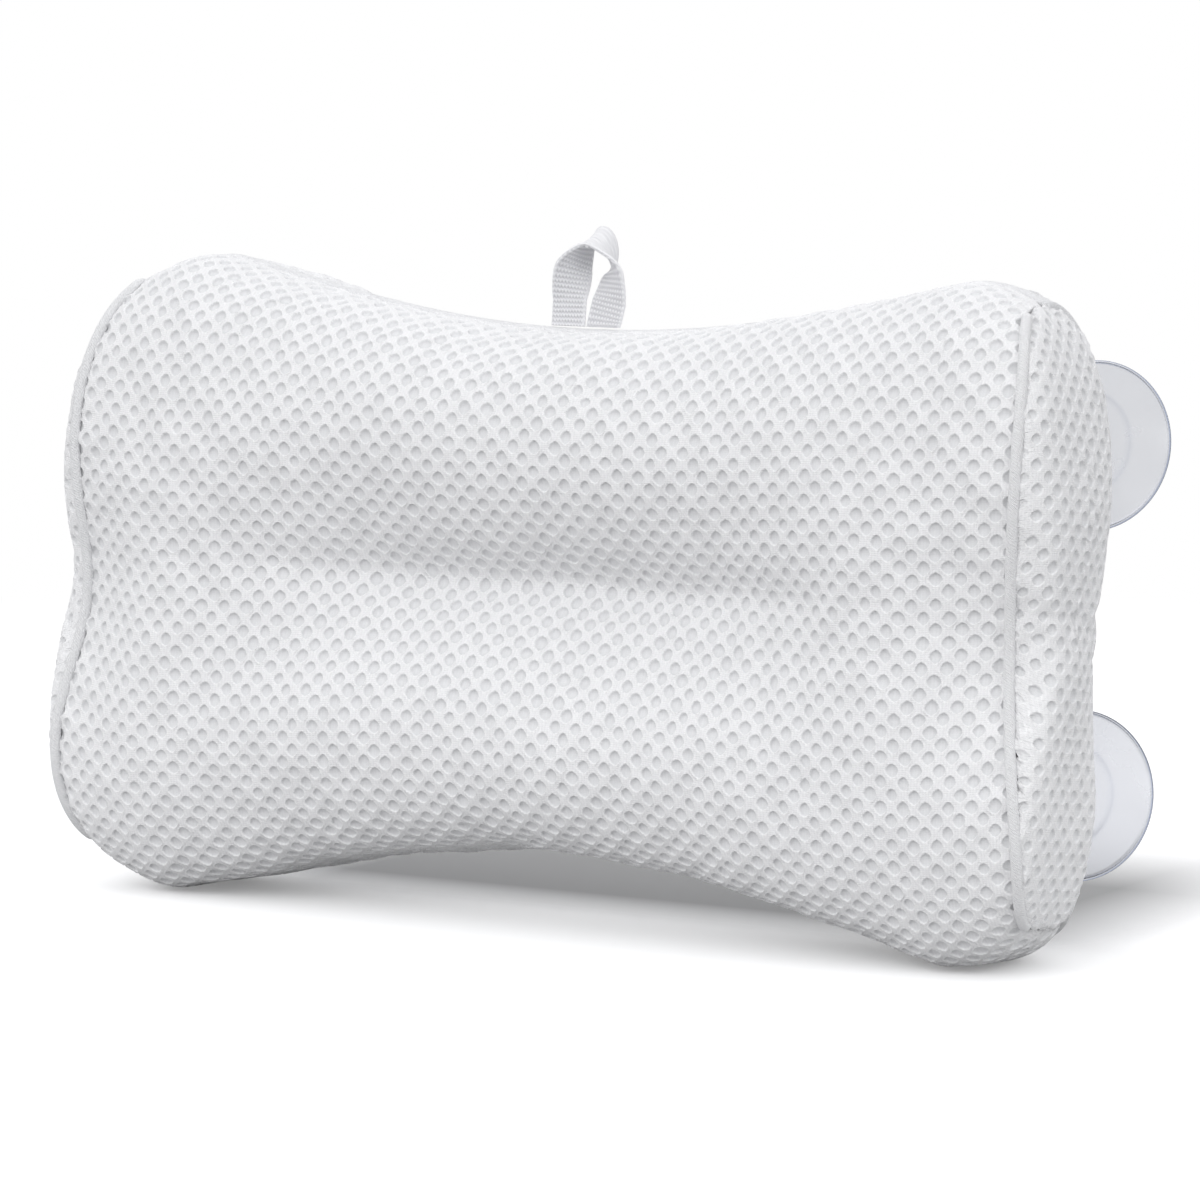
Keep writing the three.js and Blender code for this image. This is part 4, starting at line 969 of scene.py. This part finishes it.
across = np.append(section[:, 0], section[0, 0]) * TAPE_WIDE / 2
loop_uv = np.stack([np.interp(places[..., 0], np.arange(STEPS), even),
                    np.interp(places[..., 1], np.arange(len(across)), across)], -1) / 100
hanging = mesh_piece("hanging_tape", stand(points), faces, uv=loop_uv,
                     values={"outer": on_loft(np.tile(face_side, (STEPS, 1))),
                             "selvedge": on_loft(np.tile(selvedge, (STEPS, 1)))})
hanging.data.materials.append(tape_paint)
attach(hanging, "loop")
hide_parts("hanging_loop")

# Suction cups and their eyelets
# Moulded in one piece of clear soft plastic: a thin bowl, a stepped boss, and a neck with a mushroom
# head that is pushed through an eyelet in the back panel.
CUP_RADIUS, RIM_FAR, BOWL_DEEP, BOWL_POWER = 25, 20.1, 10.4, 1.8
cup_paint, sums, feed = new_material("clear_plastic", Roughness=0.06, IOR=1.5, Transmission_Weight=1.0)
spot = sums.node("TexCoord", None, OBJECT_PLACE)
haze = sums.node("TexNoise", None, 0, Vector=spot, Scale=60.0, Detail=3.0)
# Painted refraction: a dark blue-grey mixed in at the rim, at the boss and in a ring on the bowl
tint = sums.node("Attribute", {"attribute_name": "tint"}, 2)
body = haze.mixed((0.65, 0.66, 0.695, 1), (0.72, 0.73, 0.76, 1))
feed(Base_Color=tint.clamped().mixed(body, (0.20, 0.24, 0.36, 1)), Roughness=haze * 0.12 + 0.2,
     Normal=sums.node("Bump", None, 0, Strength=0.05, Distance=0.0005, Height=haze))


def softened(profile, radius):
    """A profile with each corner replaced by five points of a small bend."""
    p = np.asarray(profile, float)
    out = [p[:1]]
    t = np.linspace(0, 1, 5)[:, None]
    for before, corner, after in zip(p, p[1:], p[2:]):
        a, b = before - corner, after - corner
        la, lb = np.linalg.norm(a), np.linalg.norm(b)
        r = min(radius, la * 0.45, lb * 0.45)
        start, end = corner + a / la * r, corner + b / lb * r
        out.append(start * (1 - t) ** 2 + corner * 2 * t * (1 - t) + end * t ** 2)
    return np.concatenate(out + [p[-1:]])


def turned_piece(name, node, seat, profile, material, body, closed=False):
    """A profile of radius and place along the axis, carried round the axis of a cup. A cup, whose
    profile is open, has painted dark refraction at its rim, at its boss and in a ring between them."""
    r, along = profile.T
    around = 96
    angle = np.linspace(0, 2 * math.pi, around, endpoint=False)
    x = r[:, None] * np.cos(angle)
    z = r[:, None] * np.sin(angle)
    y = np.broadcast_to(along[:, None], x.shape)
    c, s = math.cos(CUP_TILT), math.sin(CUP_TILT)
    rings = np.stack([x, y * c + z * s, -y * s + z * c], -1) + seat
    points, faces, _ = lofted(rings, closed)
    # Where the cup is painted dark blue-grey as refraction: a sharp band at the rim, the boss and a faint
    # ring
    tint = smooth((r - 24.6) / 0.25) + 0.45 * (1 - smooth((r - 8.2) / 0.5)) + 0.2 * bell(r - 15, 0.5)
    values = None if closed else {"tint": on_loft(np.repeat(tint[:, None], around, 1))}
    piece = mesh_piece(name, stand(points), faces, values=values)
    piece.data.materials.append(material)
    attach(piece, body)
    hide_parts(node)


# The profile of a cup: its head, neck and boss, the back of its bowl, its rim, and the bowl's hollow with
# a small step
BOSS_RADIUS, STEP_HIGH = 8.4, 0.3
shares = np.linspace(BOSS_RADIUS / CUP_RADIUS, 0.985, 22)
hollow = BOWL_DEEP * (1 - shares ** BOWL_POWER)
wall = 2.4 - 1.5 * (shares - shares[0]) / (1 - shares[0])
outside = np.stack([CUP_RADIUS * shares, RIM_FAR - hollow - wall], -1)
inner_shares = np.linspace(0.955, 0.02, 40)
step = STEP_HIGH * smooth((0.60 - inner_shares) / 0.03)
inside = np.stack([CUP_RADIUS * inner_shares, RIM_FAR - BOWL_DEEP * (1 - inner_shares ** BOWL_POWER) - step],
                  -1)
head = softened([[0.01, -7.0], [4.6, -7.0], [6.8, -5.7], [6.8, -4.05], [3.8, -4.05], [3.8, 1.9],
                 [6.3, 1.9], [7.5, 2.6], [7.5, 5.1], [BOSS_RADIUS, 5.8], [BOSS_RADIUS, outside[0, 1]]], 0.5)
rim = softened([outside[-1], [CUP_RADIUS, 19.3], [CUP_RADIUS, RIM_FAR], [24.1, RIM_FAR], inside[0]], 0.28)
cup_profile = np.concatenate([head, outside[1:-1], rim, inside[1:],
                              [[0.01, RIM_FAR - BOWL_DEEP - STEP_HIGH]]])

# The eyelets are white plastic: a flange and barrel outside, and a washer inside that the barrel is
# set into. They're pressed together through a hole in the back panel.
eyelet_paint, sums, feed = new_material("white_plastic", Roughness=0.38, IOR=1.5)
spot = sums.node("TexCoord", None, OBJECT_PLACE)
grain = sums.node("TexNoise", None, 0, Vector=spot, Scale=700.0, Detail=2.0)
feed(Base_Color=grain.mixed((0.82, 0.82, 0.83, 1), (0.90, 0.90, 0.905, 1)), Roughness=grain * 0.15 + 0.32,
     Normal=sums.node("Bump", None, 0, Strength=0.1, Distance=0.0002, Height=grain))
flange = softened([[4.2, -1.6], [4.2, -3.7], [5.2, -3.7], [5.2, -0.7], [8.0, -0.7], [8.0, -0.1], [7.4, 0.5],
                   [4.2, 0.5], [4.2, -1.5]], 0.35)
washer = softened([[5.5, -3.0], [5.5, -3.7], [8.0, -3.7], [8.0, -2.5], [5.5, -2.5], [5.5, -2.9]], 0.25)
for place, seat in cup_seats.items():
    turned_piece(f"clear_cup_{place}", f"suction_cup_{place}", seat, cup_profile, cup_paint,
                 f"cup_{place}")
    turned_piece(f"eyelet_flange_{place}", f"eyelet_{place}", seat, flange, eyelet_paint,
                 "pillow", closed=True)
    turned_piece(f"eyelet_back_{place}", f"eyelet_washer_{place}", seat, washer, eyelet_paint,
                 "pillow", closed=True)

# Camera, lights and floor
# The view of the photograph: a long lens from the right, a little above, with the pillow's middle just
# left of the frame's centre. A pale floor with painted shade under and behind the pillow for the shade
# under its arch, an even white room, and three broad soft lamps.
FRAME_PIXELS, FOCAL_PIXELS, SHIFT_PIXELS = 1200, 5994.5, (26.25, -4.5)
azimuth, elevation, distance = math.radians(31.44), math.radians(6.53), 1.755
eye = middle + distance * np.array([math.sin(azimuth) * math.cos(elevation),
                                    -math.cos(azimuth) * math.cos(elevation), math.sin(elevation)])
view = bpy.data.cameras.new("view")
view.sensor_width = 36
view.lens = FOCAL_PIXELS / FRAME_PIXELS * 36
view.shift_x, view.shift_y = (pixels / FRAME_PIXELS for pixels in SHIFT_PIXELS)
view.clip_start, view.clip_end = 0.05, 30
camera = bpy.data.objects.new("view", view)
camera.location = eye
camera.rotation_euler = (math.pi / 2 - elevation, 0, azimuth)
bpy.context.scene.collection.objects.link(camera)
bpy.context.scene.camera = camera

floor = mesh_piece("floor", np.array([[-40, -40, 0], [40, -40, 0], [40, 40, 0], [-40, 40, 0]], float),
                   np.array([[0, 1, 2, 3]]), shaded_smooth=False)


def mirrored_or_through(ray):
    """1 for the rays that the camera sends itself and those that gloss and clear plastic send on. ray
    is the first output of a Light Path node, for rays from the camera."""
    return ray.math("MAXIMUM", ray.output("Is Glossy Ray")).math(
        "MAXIMUM", ray.output("Is Transmission Ray"))


NEAR_FLOOR, FAR_FADE = 0.35, 0.5
# The patch of painted shade on the floor, in metres: how far it reaches ahead, behind and to both
# sides of the part's origin, each with its fade
SHADE_AHEAD, AHEAD_FADE, SHADE_BEHIND, BEHIND_FADE = 0.005, 0.035, 0.20, 0.08
SHADE_BESIDE, BESIDE_FADE = 0.16, 0.05
floor_paint, sums, feed = new_material("floor_paint", Roughness=0.95, Specular_IOR_Level=0.0)
direct = mirrored_or_through(sums.node("LightPath"))
spot = sums.node("TexCoord", None, OBJECT_PLACE)
far = ((spot.node("VectorMath", {"operation": "LENGTH"}, 1, i0=spot) - NEAR_FLOOR)
       / FAR_FADE).clamped()
shader = next(n for n in floor_paint.node_tree.nodes if n.type == "BSDF_PRINCIPLED")
shader.inputs["Emission Strength"].default_value = 1.0
axes = sums.node("SeparateXYZ", None, 0, Vector=spot)
beside, behind = axes.abs(), axes.output(1)
# Painted shadow: in this patch the floor the camera sees is 0.42 grey instead of white, without its glow
shade = (((behind + SHADE_AHEAD) / AHEAD_FADE).clamped() * ((SHADE_BEHIND - behind) / BEHIND_FADE).clamped()
         * ((SHADE_BESIDE - beside) / BESIDE_FADE).clamped())
seen_colour = shade.mixed((1, 1, 1, 1), (0.42, 0.42, 0.42, 1))
near_colour = direct.mixed((0.50, 0.50, 0.50, 1), seen_colour)
glow = far * 0.8 + (1 - shade) * 0.2
feed(Base_Color=far.mixed(near_colour, (0.0, 0.0, 0.0, 1)),
     Emission_Color=(direct * glow).mixed((0, 0, 0, 1), (1, 1, 1, 1)))
floor.data.materials.append(floor_paint)

world = bpy.data.worlds.new("room")
bpy.context.scene.world = world
world.use_nodes = True
room = Sum(world.node_tree, None)
seen_ray = mirrored_or_through(room.node("LightPath"))
background = next(n for n in world.node_tree.nodes if n.type == "BACKGROUND")
world.node_tree.links.new(seen_ray.mixed((0.94, 0.944, 0.96, 1), (1, 1, 1, 1)).socket,
                          background.inputs["Color"])


def area_lamp(name, place, size, power):
    """A round lamp at place, in metres, that faces the pillow's middle height."""
    aim = (0, 0, 0.09)
    lamp = bpy.data.lights.new(name, "AREA")
    lamp.shape, lamp.size, lamp.energy = "DISK", size, power
    made = bpy.data.objects.new(name, lamp)
    made.location = place
    d = np.array(place) - np.array(aim)
    made.rotation_euler = (math.atan2(math.hypot(d[0], d[1]), d[2]), 0, math.atan2(d[0], -d[1]))
    bpy.context.scene.collection.objects.link(made)


area_lamp("lamp_front", (0.0, -1.9, 1.1), size=1.2, power=9.5)
area_lamp("lamp_right", (1.7, -0.5, 0.7), size=1.0, power=4)
area_lamp("lamp_left", (-1.6, -0.9, 0.8), size=1.2, power=2.8)
bpy.context.scene.view_settings.view_transform = "Standard"
